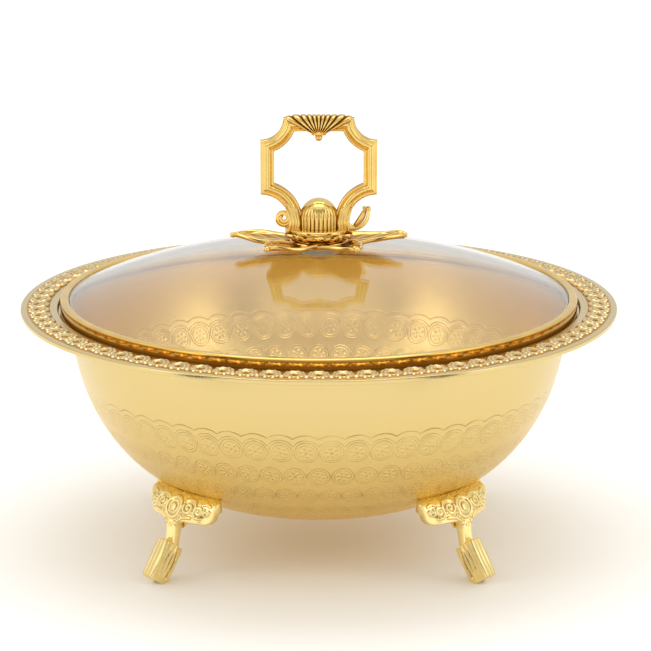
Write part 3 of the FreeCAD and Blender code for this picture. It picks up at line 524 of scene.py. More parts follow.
def bowl_visual():
    """The whole sheet pressing as one closed turned surface, with a UV map for the etched pattern."""
    inner = wall_profile(LEDGE_Z, SHEET, 64)
    outer = wall_profile(LEDGE_Z - SHEET, 0.0, 64)
    rim = fillet_path([
        inner[-2], (WALL_RADIUS - SHEET, LEDGE_Z), (RECESS_RADIUS, LEDGE_Z), (RECESS_RADIUS, FLANGE_Z),
        (RIM_RADIUS, FLANGE_Z), (RIM_RADIUS, FLANGE_Z - LIP_DROP), (RIM_RADIUS - SHEET, FLANGE_Z - LIP_DROP),
        (RIM_RADIUS - SHEET, FLANGE_Z - SHEET), (RECESS_RADIUS + SHEET, FLANGE_Z - SHEET),
        (RECESS_RADIUS + SHEET, LEDGE_Z - SHEET), (WALL_RADIUS, LEDGE_Z - SHEET), outer[-2]], 0.7)
    centre_in = np.array([[BOTTOM_FLAT * share, inner[0, 1]] for share in (0.02, 0.5)])
    centre_out = np.array([[BOTTOM_FLAT * share, outer[0, 1]] for share in (0.5, 0.02)])
    profile = np.concatenate([centre_in, inner[:-1], rim[1:-1], outer[:-1][::-1], centre_out])
    segments = 360
    shape = Shape()
    count_in, count_out = len(inner) + 1, len(outer) + 1
    # The relief layer is 0 on the inner face, which the material paints lighter: painted light.
    outside = np.ones(len(profile))
    outside[:count_in] = 0.0
    shade = np.repeat(outside[:, None], segments, axis=1)
    shape.grid(lathe(profile, segments), close_cols=True, flip=True, shade=shade)
    shape.cap(0, segments, flip=False)
    shape.cap((len(profile) - 1) * segments, segments, flip=True)
    obj = shape.build("bowl_shell_pressing", SHEET_GOLD)

    along = path_length(profile)
    distance = np.full(len(profile), -20.0)
    distance[:count_in] = along[count_in] - along[:count_in]
    distance[-count_out:] = along[-count_out:] - along[-count_out]
    layer = obj.data.uv_layers.new(name="wall")
    loops = np.empty(len(obj.data.loops), dtype=np.int32)
    obj.data.loops.foreach_get("vertex_index", loops)
    row, col = np.divmod(loops, segments)
    row = np.minimum(row, len(profile) - 1)
    turn = col.astype(float)
    face_of = np.repeat(np.arange(len(obj.data.polygons)), [p.loop_total for p in obj.data.polygons])
    has_last = np.zeros(len(obj.data.polygons), bool)
    has_last[face_of[turn == segments - 1]] = True
    turn[(turn == 0) & has_last[face_of]] = segments
    uv = np.stack([turn / segments * MEDALLIONS, distance[row]], axis=-1)
    layer.data.foreach_set("uv", uv.astype(np.float32).ravel())
    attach(obj, "bowl")
    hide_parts("bowl_shell")


FAN_EYE_AT = 7.9       # eye's centre, outward from the band's inner edge
FAN_INWARD = 7.7       # the fan's reach from its eye towards the inner edge
FAN_OUTWARD = 3.6
FAN_ARCS = (3.0, 5.2)  # radii of the two grooves round the eye
FAN_RAYS = 11
FAN_GROOVE = 0.55


def fan_relief(x, y):
    """Height of one fan motif and its painted shade, darkest in the eye and grooves: x along the rim, y
    outward from the inner edge.
    """
    half_pitch = math.pi * (BAND_INNER + BAND_WIDTH / 2) / FAN_COUNT
    inward = FAN_EYE_AT - y
    reach = np.hypot(x * 1.15, inward)
    inner_side = smoothstep(-1.2, 0.6, inward)
    outline = (x / half_pitch) ** 2 + (np.clip(inward, 0, None) / FAN_INWARD) ** 2
    outline = outline + (np.clip(-inward, 0, None) / FAN_OUTWARD) ** 2
    lean = 0.40 + 0.60 * smoothstep(-2.5, 5.5, inward)
    height = BAND_HEIGHT * lean * np.clip(1.0 - outline, 0.0, 1.0) ** 0.22
    rays = 0.5 + 0.5 * np.cos(np.arctan2(x, inward) * FAN_RAYS)
    grooves = FAN_GROOVE * rays * smoothstep(5.4, 6.0, reach) * inner_side
    for radius in FAN_ARCS:
        grooves += np.exp(-((reach - radius) / 0.42) ** 2) * inner_side
    grooves = np.clip(grooves, 0.0, 1.0)
    height = height - FAN_GROOVE * grooves
    edge_x = half_pitch - np.abs(x)
    height = np.maximum(height, 1.3 * bump_line(np.hypot(edge_x, y - 10.4), 1.35))
    height = np.maximum(height, 1.1 * bump_line(np.hypot(np.abs(x) - 2.2, y - 11.7), 1.2))
    eye = smoothstep(1.75, 1.35, np.hypot(x / 1.25, inward))
    height = height * (1.0 - 0.92 * eye)
    # Painted shade: darkest in the eye, darker in the grooves and on low ground.
    painted_light_level = np.clip(1.0 - eye - 0.42 * grooves, 0.0, 1.0)
    painted_light_level *= 0.45 + 0.55 * smoothstep(0.15, 0.8, height + eye)
    border = smoothstep(0.0, 0.3, y) * smoothstep(BAND_WIDTH, BAND_WIDTH - 0.3, y)
    return np.maximum(height, 0.15) * border, painted_light_level


def rim_visual():
    """The band of fans as one closed relief on the flange."""
    per_fan, radial = 26, 34
    cols = FAN_COUNT * per_fan
    turn = np.arange(cols) / cols * TAU - math.pi / 2
    y = np.linspace(0.0, BAND_WIDTH, radial)
    phase = ((np.arange(cols) / per_fan + 0.5) % 1.0) - 0.5
    radius = BAND_INNER + y
    x = phase[None, :] * (TAU * radius / FAN_COUNT)[:, None]
    height, painted_light_level = fan_relief(x, np.repeat(y[:, None], cols, axis=1))
    top = polar_points(radius[:, None], turn, FLANGE_Z + height)
    base = top[[-1, 0]].copy()
    base[..., 2] = FLANGE_Z - 0.05
    # Painted shade: the band's side walls and underside fade to the darkest hollow colour.
    shade = np.concatenate([painted_light_level, np.zeros((2, cols))])
    shape = Shape()
    shape.grid(np.concatenate([top, base]), close_rows=True, close_cols=True, flip=True, shade=shade)
    obj = shape.build("rim_band_relief", RIM_GOLD, sharp=0)
    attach(obj, "bowl")
    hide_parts("rim_band")


# ---------------------------------------------------------------- lid
GLASS_SPHERE = 380.0
GLASS_THICK = 4.0
RING_WIDTH = 5.0
RING_TOP = ring_high[2]
RING_COLS = 320
RING_ROWS = 120
SEAT_WIDTH = 3.0
SEAT_DROP = 1.6
GLASS_RADIUS = LID_RADIUS - RING_WIDTH
GLASS_CENTRE = glass_high[2] - GLASS_SPHERE
GLASS_HOLE = 4.0


def sphere_z(radius, sphere):
    return GLASS_CENTRE + np.sqrt(sphere ** 2 - radius ** 2)


def lid_glass_visual():
    radii = np.linspace(GLASS_HOLE, GLASS_RADIUS, 40)
    outer = np.stack([radii, sphere_z(radii, GLASS_SPHERE)], axis=-1)
    inner = np.stack([radii, sphere_z(radii, GLASS_SPHERE - GLASS_THICK)], axis=-1)[::-1]
    shape = Shape()
    shape.grid(lathe(np.concatenate([outer, inner]), 256), close_rows=True, close_cols=True, flip=True)
    obj = shape.build("lid_glass_dome", GLASS, sharp=50)
    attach(obj, "lid")
    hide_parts("lid_glass")


def lid_ring_visual():
    """The polished channel round the glass, with its seat under the edge of the glass.

    Its outside carries painted shade: a dark line under the top edge and more down in the recess.
    """
    under = GLASS_SPHERE - GLASS_THICK
    seat_low = sphere_z(GLASS_RADIUS, under) - SEAT_DROP
    seat_radii = np.array([GLASS_RADIUS - 0.05, GLASS_RADIUS - SEAT_WIDTH])
    seat_top = sphere_z(seat_radii, under) - 0.03
    start = (LID_RADIUS - 2.0, LEDGE_Z)
    profile = fillet_path([
        start, (LID_RADIUS, LEDGE_Z), (LID_RADIUS, RING_TOP - 1.2), (LID_RADIUS - 1.0, RING_TOP),
        (GLASS_RADIUS + 0.9, RING_TOP), (GLASS_RADIUS + 0.03, RING_TOP - 0.8),
        (seat_radii[0] + 0.08, seat_top[0]), (seat_radii[1], seat_top[1]), (seat_radii[1], seat_low),
        (GLASS_RADIUS, seat_low), (GLASS_RADIUS, LEDGE_Z), start], 1.6, 6)
    length = path_length(profile)
    at = np.linspace(0.0, length[-1], RING_ROWS, endpoint=False)
    profile = np.stack([np.interp(at, length, profile[:, 0]), np.interp(at, length, profile[:, 1])], axis=-1)
    below = RING_TOP - profile[:, 1]
    outer = smoothstep(LID_RADIUS - 0.9, LID_RADIUS - 0.3, profile[:, 0])
    # Painted shade on the outside: a line under the top edge and the lower side in the recess.
    dark = outer * np.maximum(0.75 * bump_line(below - 1.7, 0.7), 0.85 * smoothstep(3.6, 4.4, below))
    shade = np.repeat(1.0 - dark[:, None], RING_COLS, axis=1)
    shape = Shape()
    shape.grid(lathe(profile, RING_COLS), close_rows=True, close_cols=True, flip=True, shade=shade)
    obj = shape.build("lid_ring_channel", RING_GOLD, sharp=60)
    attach(obj, "lid")
    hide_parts("lid_ring")


# ---------------------------------------------------------------- handle
LOOP_HALF = loop_high[0]
LOOP_TOP = loop_high[2]
HUB_TOP = dome_low[2]
HUB_HOLE = 3.0
HUB_RADIUS = 17.0
LOOP_BAR = 7.9         # the bar's width across the loop
LOOP_CORE = 1.5        # half its thickness in the hollows
TOP_NOTCH = 13.2       # outside radii of the concave corners
FOOT_NOTCH = 16.6
FOOT_RISE = 2.6
FOOT_Z = HUB_TOP + FOOT_RISE


def loop_line(inset, steps):
    """The loop's line at an inset from its outside, from the right foot round to the left foot."""
    top_radius, foot_radius = TOP_NOTCH + inset, FOOT_NOTCH + inset
    share = np.linspace(0.0, 1.0, steps)
    low = np.array([[LOOP_HALF - foot_radius, HUB_TOP - 0.8]])
    foot = arc_points((LOOP_HALF, FOOT_Z), foot_radius, math.pi - share * math.acos(inset / foot_radius))
    overlap = math.asin(inset / top_radius)
    corner_angle = math.pi * 1.5 - overlap - share * (math.pi / 2 - 2 * overlap)
    corner = arc_points((LOOP_HALF, LOOP_TOP), top_radius, corner_angle)
    side_line = np.linspace(foot[-1], corner[0], steps)[1:-1]
    half = np.concatenate([low, foot, side_line, corner])
    top_line = np.linspace(half[-1], half[-1] * [-1, 1], steps)[1:-1]
    return np.concatenate([half, top_line, half[::-1] * [-1, 1]])


def moulded_section():
    """The bar's section as (inset, depth) round the bar: two edge beads and a raised middle rib."""
    share = np.linspace(0.0, 1.0, 33)
    inset = LOOP_BAR * (0.5 - 0.5 * np.cos(math.pi * share))
    depth = np.full_like(inset, LOOP_CORE)
    depth = np.maximum(depth, 1.2 + 1.25 * bump_line(inset - 1.15, 1.15))
    depth = np.maximum(depth, 1.2 + 1.15 * bump_line(inset - (LOOP_BAR - 1.0), 1.0))
    depth = np.maximum(depth, LOOP_CORE + 1.95 * bump_line(inset - LOOP_BAR / 2, 2.05))
    depth[0] = depth[-1] = 0.9
    front = np.stack([inset, -depth], axis=-1)
    back = np.stack([inset[::-1], depth[::-1]], axis=-1)
    return np.concatenate([front, back])


def add_hub(shape, low, high, radius, rounding):
    """A turned disc with a hole for the handle's screw."""
    hub = fillet_path([(HUB_HOLE, low), (radius, low), (radius, high), (HUB_HOLE, high)], rounding)
    shape.grid(lathe(hub, 96), close_rows=True, close_cols=True, flip=True)


def loop_visual():
    section = moulded_section()
    lines = np.array([loop_line(inset, 22) for inset in section[:, 0]])
    depth = np.repeat(section[:, 1:], lines.shape[1], axis=1)
    points = np.stack([lines[..., 0], depth, lines[..., 1]], axis=-1)
    # Painted shade: darker in the hollows between the bar's beads and rib.
    shade = 0.25 + 0.75 * smoothstep(1.25, 2.2, np.abs(depth))
    shape = Shape()
    shape.tube(points.transpose(1, 0, 2), flip=True, shade=shade.T)
    add_hub(shape, loop_low[2], HUB_TOP, HUB_RADIUS, 1.2)
    for side in (-1, 1):
        foot_ribs(shape, side)
    obj = shape.build("handle_loop_moulded", CAST_GOLD, sharp=50)
    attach(obj, "lid")
    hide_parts("handle_loop")


def tube_along(path, radii, squash, segments):
    """Rings of points round a path in space; squash flattens them front to back."""
    ahead = np.gradient(path, axis=0)
    ahead /= np.linalg.norm(ahead, axis=1)[:, None]
    side = np.cross(ahead, [0.0, 1.0, 0.0])
    side /= np.linalg.norm(side, axis=1)[:, None]
    up = np.cross(side, ahead)
    turn = (np.arange(segments) / segments * TAU)[None, :, None]
    ring = np.cos(turn) * side[:, None, :] + squash * np.sin(turn) * up[:, None, :]
    return path[:, None, :] + radii[:, None, None] * ring


def foot_ribs(shape, side):
    """Upright leaf ribs that sheathe the loop's foot."""
    share = np.linspace(0.0, 1.0, 16)
    swell = 1.25 * np.sin(math.pi * (share * 0.92 + 0.08)) ** 0.5 + 0.05
    for inset, height in ((0.6, 0.62), (2.3, 0.80), (4.0, 0.72), (5.3, 0.5)):
        angle = np.linspace(math.pi + 0.25, math.pi - height, 16)
        line = arc_points((LOOP_HALF, FOOT_Z), FOOT_NOTCH + inset, angle)
        for face in (-1, 1):
            path = np.stack([side * line[:, 0], face * np.linspace(4.2, 2.6, 16), line[:, 1]], axis=-1)
            shape.tube(tube_along(path, swell, 0.9, 10), flip=(side > 0))


def crest_visual():
    """The shell: ribs fan up from a pendant, over and behind the top bar."""
    pendant_z = crest_low[2]
    focus_z = pendant_z + 2.6
    span, thick, top_z = crest_high
    ribs = 11
    root = 1.2
    across = np.linspace(-1.0, 1.0, ribs * 14 + 1)
    shares = np.linspace(0.0, 1.0, 30)
    lean = across * math.radians(64.0)
    reach_up = (top_z - focus_z) / np.cos(lean)
    reach_side = span / np.maximum(np.abs(np.sin(lean)), 1e-3)
    reach = 1.0 / (1.0 / reach_up ** 8 + 1.0 / reach_side ** 8) ** 0.125
    lobes = np.abs(np.cos(across * ribs * math.pi / 2))
    reach = reach * (0.93 + 0.07 * lobes ** 0.7)
    radius = root + shares[:, None] * (reach[None, :] - root)
    x = radius * np.sin(lean)[None, :]
    z = np.minimum(focus_z + radius * np.cos(lean)[None, :], top_z)
    swell = 2.0 + 2.6 * np.sin(math.pi * (0.12 + 0.62 * shares))[:, None]
    flute = 1.5 * (lobes[None, :] ** 0.6 - 0.75) * smoothstep(0.04, 0.3, shares)[:, None]
    roll = np.sqrt(np.clip(1.0 - shares ** 7, 0.0, 1.0))[:, None]
    edge = np.sqrt(np.clip(1.0 - across ** 16, 0.0, 1.0))[None, :]
    depth = np.minimum((swell + flute) * (0.3 + 0.7 * roll) * (0.55 + 0.45 * edge), thick)
    front = np.stack([x, -depth, z], axis=-1)
    back = np.stack([x, depth, z], axis=-1)[::-1]
    # Painted shade: darker in the flutes between the ribs, except near the pendant.
    shade = smoothstep(0.25, 0.95, lobes)[None, :] + smoothstep(0.35, 0.05, shares)[:, None]
    shade = np.clip(shade, 0.0, 1.0)
    both = np.concatenate([shade, shade[::-1]])
    shape = Shape()
    shape.tube(np.concatenate([front, back]).transpose(1, 0, 2), shade=both.T)
    shape.ball((0, 0, pendant_z + 2.2), 2.2, (1.05, 1.35, 1.0), 14, 22)
    for face in (-1, 1):
        shape.ball((0, face * 2.7, pendant_z + 5.0), 2.0, (1.1, 0.6, 1.0), 12, 18)
        for side in (-1, 1):
            shape.ball((side * 3.1, face * 2.2, pendant_z + 4.9), 1.3, (1.0, 0.9, 1.0), 10, 16)
    obj = shape.build("shell_crest_fan", CAST_GOLD, sharp=0)
    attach(obj, "lid")
    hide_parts("shell_crest")


def dome_visual():
    """The bud at the foot of the loop: a plain cap over rounded ribs."""
    radius = dome_high[0]
    low, top = dome_low[2], dome_high[2]
    shoulder = top - radius
    ribs = 26
    cols = ribs * 14
    turn = np.arange(cols) / cols * TAU
    straight = np.linspace(low, shoulder, 13, endpoint=False)
    polar = np.linspace(0.0, math.pi / 2 * 0.985, 30)
    base_r = np.concatenate([np.full_like(straight, radius), radius * np.cos(polar)])
    base_z = np.concatenate([straight, shoulder + radius * np.sin(polar)])
    lobes = np.abs(np.cos(turn * ribs / 2))
    fade = smoothstep(top - 3.0, top - 14.0, base_z)[:, None]
    flute = (1.0 - lobes ** 0.7)[None, :] * fade
    points = polar_points(base_r[:, None] - flute, turn, np.repeat(base_z[:, None], cols, axis=1))
    # Painted shade: darker down in the flutes.
    shade = 1.0 - fade * (1.0 - smoothstep(0.12, 0.6, lobes))[None, :]
    shape = Shape()
    shape.tube(points, shade=shade)
    obj = shape.build("fluted_dome_bud", CAST_GOLD, sharp=0)
    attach(obj, "lid")
    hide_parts("fluted_dome")


def scroll_strip(path, width, thick):
    """A curved strip with rounded edges and hollow faces: path in XZ, width front to back."""
    ahead = np.gradient(path, axis=0)
    ahead /= np.linalg.norm(ahead, axis=1)[:, None]
    half, rise = width / 2, thick / 2
    section = fillet_path([
        (0.0, -half), (rise, -half), (rise * 0.55, 0.0), (rise, half), (-rise, half),
        (-rise * 0.4, 0.0), (-rise, -half), (0.0, -half)], 0.7, 4)[:-1]
    x = path[:, :1] + ahead[:, 1:] * section[:, 0]
    z = path[:, 1:] - ahead[:, :1] * section[:, 0]
    return np.stack([x, np.broadcast_to(section[:, 1], x.shape), z], axis=-1)


def scroll_left_visual():
    """A closed volute on a short stem."""
    low, high = node_box("scroll_left")
    outer = (high[2] - low[2]) / 2
    centre = np.array([low[0] + outer, (low[2] + high[2]) / 2])
    turns = np.linspace(0.0, 1.0, 90)
    path = arc_points(centre, (outer - 0.95) * (1 - 0.62 * turns ** 1.1), np.radians(-20.0 - 560.0 * turns))
    shape = Shape()
    shape.tube(scroll_strip(path, 5.2, 2.3), flip=True)
    shape.ball((path[-1][0], 0, path[-1][1]), 1.35, (1.0, 2.0, 1.0), 12, 18)
    start = np.array([centre[0] + outer + 1.6, low[2] - 0.4])
    pull = np.array([centre[0] + outer * 0.6, low[2] + 0.2])
    end = np.array([centre[0], low[2] + 0.95])
    t = np.linspace(0.0, 1.0, 12)[:, None]
    stem = start * (1 - t) ** 2 + pull * 2 * t * (1 - t) + end * t * t
    shape.tube(scroll_strip(stem, 5.0, 1.7))
    obj = shape.build("scroll_left_volute", CAST_GOLD, sharp=0)
    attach(obj, "lid")
    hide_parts("scroll_left")


HOOK_RADIUS = 9.1
HOOK_CENTRE = (19.4, HUB_TOP + 8.0)


def scroll_right_visual():
    """An open hook with two balls at its tip and a blade inside it."""
    centre_x, centre_z = HOOK_CENTRE
    path = arc_points(HOOK_CENTRE, HOOK_RADIUS, np.radians(np.linspace(-118.0, 14.0, 60)))
    shape = Shape()
    shape.tube(scroll_strip(path, 5.0, 2.2))
    tip = path[-1]
    shape.ball((tip[0] + 0.2, 0, tip[1] + 0.3), 1.75, (1.0, 1.5, 1.0), 12, 18)
    shape.ball((tip[0] - 1.9, 0, tip[1] + 0.9), 1.2, (1.1, 1.4, 0.9), 10, 16)
    share = np.linspace(0.0, 1.0, 20)
    x = centre_x + 1.2 + 5.8 * share + 0.9 * np.sin(share * math.pi)
    z = centre_z - 7.6 + 9.2 * share
    swell = 1.9 * np.sin(math.pi * (0.1 + 0.8 * share)) ** 0.5
    shape.tube(tube_along(np.stack([x, np.zeros(20), z], axis=-1), swell, 1.2, 14), flip=True)
    obj = shape.build("scroll_right_hook", CAST_GOLD, sharp=0)
    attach(obj, "lid")
    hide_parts("scroll_right")


LEAF_ROWS = 40
LEAF_COLS = 33


def leaf_surface(span, half_width, rise, start):
    """Closed leaf along +X: dished blade, raised rolled rims, a mid rib and a curled tip."""
    along = np.linspace(0.0, 1.0, LEAF_ROWS)[:, None]
    across = np.linspace(-1.0, 1.0, LEAF_COLS)[None, :]
    width = half_width * np.sin(math.pi * np.clip(0.30 + 0.66 * along, 0, 1)) ** 0.8
    width = np.maximum(width, 0.9)
    lift = rise * smoothstep(0.1, 1.0, along) + 0.54 * np.sin(along * math.pi * 2.1)
    dish = 1.5 * across ** 2 * np.sin(math.pi * along) ** 0.6
    rims = bump_line(np.abs(across) - 0.87, 0.15) * smoothstep(0.03, 0.2, along)
    rib = 0.35 * bump_line(across, 0.10) * smoothstep(1.0, 0.75, along)
    veins = 0.16 * np.cos((np.abs(across) * 3.0 - along * 9.0) * math.pi)
    veins = veins * smoothstep(1.0, 0.7, np.abs(across))
    wave = 0.7 * np.sin(along * 7.5) * across ** 3
    x = np.repeat(start + along * (span - start), LEAF_COLS, axis=1)
    y = width * across
    upper = np.stack([x, y, lift + dish + rims + rib + veins + wave], axis=-1)
    lower = np.stack([x, y * 0.98, lift + dish * 0.9 + wave - 1.5], axis=-1)[:, ::-1]
    # Painted shade: darker in the dish, lighter on the rims, rib and veins and towards the tip, darker still
    # underneath.
    shade = np.clip(0.45 + 0.7 * rims + 1.4 * rib + 1.1 * veins + 0.35 * along, 0.0, 1.0)
    return np.concatenate([upper, lower], axis=1), np.concatenate([shade, 0.6 * shade[:, ::-1]], axis=1)


LEAF_SPAN = leaf_high[0]
LEAVES = (          # azimuth, reach from the axis, half width
    (0.0, LEAF_SPAN, 13.0), (180.0, LEAF_SPAN, 13.0), (232.0, LEAF_SPAN - 2.0, 14.0),
    (299.0, LEAF_SPAN - 5.0, 14.0), (57.0, LEAF_SPAN - 13.0, 10.0), (118.0, LEAF_SPAN - 13.0, 10.0))
LEAF_TIP_BALLS = ((-1.8, 1.8, -0.2), (-4.4, 1.3, 0.3))      # outward from the tip, radius, above the tip
PETALS = 8


def leaf_rosette_visual():
    """Six long leaves with ball tips, in a star on a stepped hub."""
    shape = Shape()
    base = leaf_low[2]
    for azimuth, span, half_width in LEAVES:
        rise = 4.2 if span > LEAF_SPAN - 10 else 2.2
        points, shade = leaf_surface(span - 2.2, half_width, rise, 10.0)
        points[..., 2] += base + 1.6
        shape.tube(turn_z(points, azimuth), shade=shade)
        tip_z = points[-1, LEAF_COLS // 2, 2]
        for out, size, above in LEAF_TIP_BALLS:
            place = turn_z([span + out, 0.0, tip_z + above], azimuth)
            shape.ball(place, size, (1, 1, 0.95), 12, 18)
    hub = fillet_path([
        (HUB_HOLE, base), (HUB_RADIUS, base), (HUB_RADIUS, base + 3.2), (12.0, base + 4.0),
        (HUB_HOLE, base + 4.0)], 1.0)
    shape.grid(lathe(hub, 96), close_rows=True, close_cols=True, flip=True)
    obj = shape.build("leaf_rosette_cast", CAST_GOLD, sharp=0)
    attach(obj, "lid")
    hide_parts("leaf_rosette")


def petal_rosette_visual():
    """Short upturned petals with a bead between each two."""
    shape = Shape()
    base = petal_low[2]
    pitch = 360.0 / PETALS
    for k in range(PETALS):
        points, shade = leaf_surface(petal_high[0] - 0.4, 8.4, 1.6, 7.0)
        points[..., 2] = np.minimum(points[..., 2], 2.6) + base + 1.5
        shape.tube(turn_z(points, (k + 0.5) * pitch), shade=shade)
        shape.ball(turn_z([16.8, 0.0, base + 2.6], k * pitch), 1.5, (1.2, 1.2, 1.0), 10, 16)
    add_hub(shape, base, base + 3.4, 14.0, 1.0)
    obj = shape.build("petal_rosette_cast", CAST_GOLD, sharp=0)
    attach(obj, "lid")
    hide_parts("petal_rosette")


# ---------------------------------------------------------------- legs
KNEE_RADIUS = 114.9
WING_HALF = 28.5
WING_ROUND = 6.0
WING_BOTTOM = 35.5
WING_THICK = 4.2
NECK_BLEND = 9.9        # the plate's lower edge runs down into the neck inside this half width
NECK_ROUND = 6.0
LEG_AZIMUTHS = {"back_right": 43.2, "back_left": 136.8, "front_left": 223.2, "front_right": 316.8}


def knee_front(share):
    """The plate's face in the leg's own plane, from its top edge (0) to the neck (1): (radius, height)."""
    top_z = wall_z(KNEE_RADIUS - 12.4) - 1.4
    radii = np.array([-12.4, -5.9, -1.5, 0.0, 0.4]) + KNEE_RADIUS
    heights = top_z - np.array([0.0, 1.8, 5.8, 11.2, 17.2])
    length = path_length(np.stack([radii, heights], axis=-1))
    at = share * length[-1]
    return smooth_interp(at, length, radii), smooth_interp(at, length, heights)


def smooth_interp(at, places, values):
    """Catmull-Rom interpolation through a few values."""
    at = np.asarray(at, dtype=float)
    slope = np.gradient(values, places)
    k = np.clip(np.searchsorted(places, at) - 1, 0, len(places) - 2)
    width = places[k + 1] - places[k]
    t = (at - places[k]) / width
    a, b = values[k], values[k + 1]
    ma, mb = slope[k] * width, slope[k + 1] * width
    return ((2 * t ** 3 - 3 * t ** 2 + 1) * a + (t ** 3 - 2 * t ** 2 + t) * ma
            + (-2 * t ** 3 + 3 * t ** 2) * b + (t ** 3 - t ** 2) * mb)


def spiral(centre, start_radius, end_radius, start_angle, sweep):
    share = np.linspace(0.0, 1.0, 40)
    radius = start_radius + (end_radius - start_radius) * share
    return arc_points(centre, radius, np.radians(start_angle + sweep * share))


def path_distance(x, y, path):
    """Distance from each (x, y) to a polyline."""
    best = np.full(x.shape, 1e9)
    for (ax, ay), (bx, by) in zip(path[:-1], path[1:]):
        dx, dy = bx - ax, by - ay
        t = np.clip(((x - ax) * dx + (y - ay) * dy) / (dx * dx + dy * dy + 1e-12), 0, 1)
        best = np.minimum(best, np.hypot(x - ax - t * dx, y - ay - t * dy))
    return best


def wing_edge(t):
    """Height of the plate's lower edge, by the place across it."""
    over = np.clip(np.abs(t) - WING_HALF + WING_ROUND, 0.0, WING_ROUND)
    rounded = WING_ROUND - np.sqrt(WING_ROUND ** 2 - over ** 2)
    inner = np.clip(NECK_BLEND - np.abs(t), 0.0, NECK_ROUND) / NECK_ROUND
    return WING_BOTTOM + rounded - NECK_ROUND * (1.0 - np.sqrt(1.0 - inner ** 2))


RELIEF_LINES = (        # (path across and down, half width, height)
    (spiral((10.8, 10.4), 3.6, 0.5, 200, -500), 1.0, 1.15),
    (spiral((18.6, 11.6), 3.0, 0.5, 150, 470), 0.95, 1.1),
    (spiral((24.0, 11.4), 2.1, 0.4, 190, -420), 0.85, 1.0),
    (((7.4, 6.4), (10.0, 5.6), (13.8, 6.2), (15.4, 9.0), (15.6, 12.6), (17.4, 15.2), (20.6, 15.4)),
     1.0, 1.0),
    (((5.2, 18.6), (8.0, 16.6), (11.0, 15.8), (14.0, 15.6)), 1.0, 0.95),
    (((19.6, 7.4), (22.4, 6.6), (25.2, 8.0)), 0.85, 0.9))
RELIEF_BEADS = (        # (across, down, radius)
    (14.2, 12.8, 1.0), (21.6, 9.6, 0.8), (7.4, 15.2, 1.0), (3.4, 20.2, 1.5), (0.0, 22.4, 1.8),
    (2.6, 3.2, 0.9))


def leg_relief(t, v):
    """Raised scrollwork on the plate: t across, v down from the top edge, both in millimetres."""
    side = np.abs(t)
    medallion = np.hypot(t / 6.4, (v - 11.6) / 6.6)
    height = np.maximum(1.3 * bump_line(medallion - 0.86, 0.19), 1.5 * bump_line(medallion, 0.40))
    for path, width, tall in RELIEF_LINES:
        height = np.maximum(height, tall * bump_line(path_distance(side, v, path), width))
    for x, y, radius in RELIEF_BEADS:
        height = np.maximum(height, 1.05 * bump_line(np.hypot(side - x, v - y), radius))
    return height


def leg_plate(shape):
    """The winged plate: a relief face, an edge and a plain back."""
    cols, rows = 181, 72
    t = np.linspace(-WING_HALF, WING_HALF, cols)
    radii, heights = knee_front(np.linspace(0.0, 1.0, 200))
    length = path_length(np.stack([radii, heights], axis=-1))
    low_edge = np.maximum(wing_edge(t), heights[-1] + 0.3)
    low = np.interp(-low_edge, -heights, length)
    corner = np.clip((np.abs(t) - WING_HALF + WING_ROUND) / WING_ROUND, 0, 1)
    high = 5.0 * (1 - np.sqrt(1 - corner ** 2))
    v = high + np.linspace(0, 1, rows)[:, None] * (low - high)
    radius = np.interp(v, length, radii)
    height = np.interp(v, length, heights)
    normal_r = np.interp(v, length, -np.gradient(heights, length))
    normal_z = np.interp(v, length, np.gradient(radii, length))
    norm = np.hypot(normal_r, normal_z)
    normal_r, normal_z = normal_r / norm, normal_z / norm
    across = np.repeat(t[None, :], rows, 0)
    wing = np.abs(across) / WING_HALF
    edge_gap = np.minimum(np.minimum(v - high, low - v), WING_HALF - np.abs(across))
    relief = 0.62 * leg_relief(across, v) * smoothstep(0.6, 1.6, edge_gap)
    slope_shade = np.clip(np.hypot(*np.gradient(relief)) / 0.28, 0.0, 1.0)
    round_off = 1.1 * (1 - np.sqrt(1 - np.clip(1.0 - edge_gap / 1.1, 0, 1) ** 2))
    lift = 0.35 + relief - round_off + 2.2 * smoothstep(13.0, 1.0, v - high)
    sweep_back = 1.2 * wing ** 2 + 4.2 * wing ** 3 * smoothstep(4.0, 18.0, v)
    angle = np.arctan2(across, radius)
    front = polar_points(radius + normal_r * lift - sweep_back, angle, height + normal_z * lift)
    back = polar_points(radius - normal_r * WING_THICK - sweep_back, angle, height - normal_z * WING_THICK)
    # Painted shade: darker on the flanks of the relief and on the plate's back.
    painted_light_level = 0.98 - 0.45 * slope_shade * (1.0 - relief)
    shade = np.concatenate([painted_light_level, np.full_like(painted_light_level, 0.7)])
    shape.tube(np.concatenate([front, back[::-1]]).transpose(1, 0, 2), shade=shade.T)


def superellipse_ring(half_x, half_y, power, count):
    turn = np.arange(count) / count * TAU
    c, s = np.cos(turn), np.sin(turn)
    x = half_x * np.sign(c) * np.abs(c) ** (2 / power)
    y = half_y * np.sign(s) * np.abs(s) ** (2 / power)
    return np.stack([x, y], axis=-1)


NECK_STATIONS = (       # (radius from the bowl's axis, height, half depth, half width)
    (111.8, 38.0, 3.2, 5.6), (112.4, 33.0, 3.3, 4.6), (113.2, 28.5, 3.2, 3.95), (114.0, 24.5, 3.1, 3.7),
    (114.6, 21.5, 3.2, 3.75), (115.0, 19.0, 3.3, 3.8), (115.6, 16.0, 3.3, 3.8))


def leg_neck(shape):
    """The neck: it swells into the knee above and into a small foot on the hoof below."""
    rings = []
    for radius, height, half_depth, half_width in NECK_STATIONS:
        ring = superellipse_ring(half_depth, half_width, 3.4, 40)
        rings.append(np.stack([radius + ring[:, 0], ring[:, 1], np.full(40, height)], -1))
    shape.tube(np.array(rings)[::-1])


RIB_HALF = 4.8
RIB_INNER = 92.5        # the rib's ends, from the bowl's axis
RIB_OUTER = 109.0
RIB_CREST = 101.5       # outside this radius its top slopes down
RIB_TOP = 47.0
RIB_LOW = 29.5


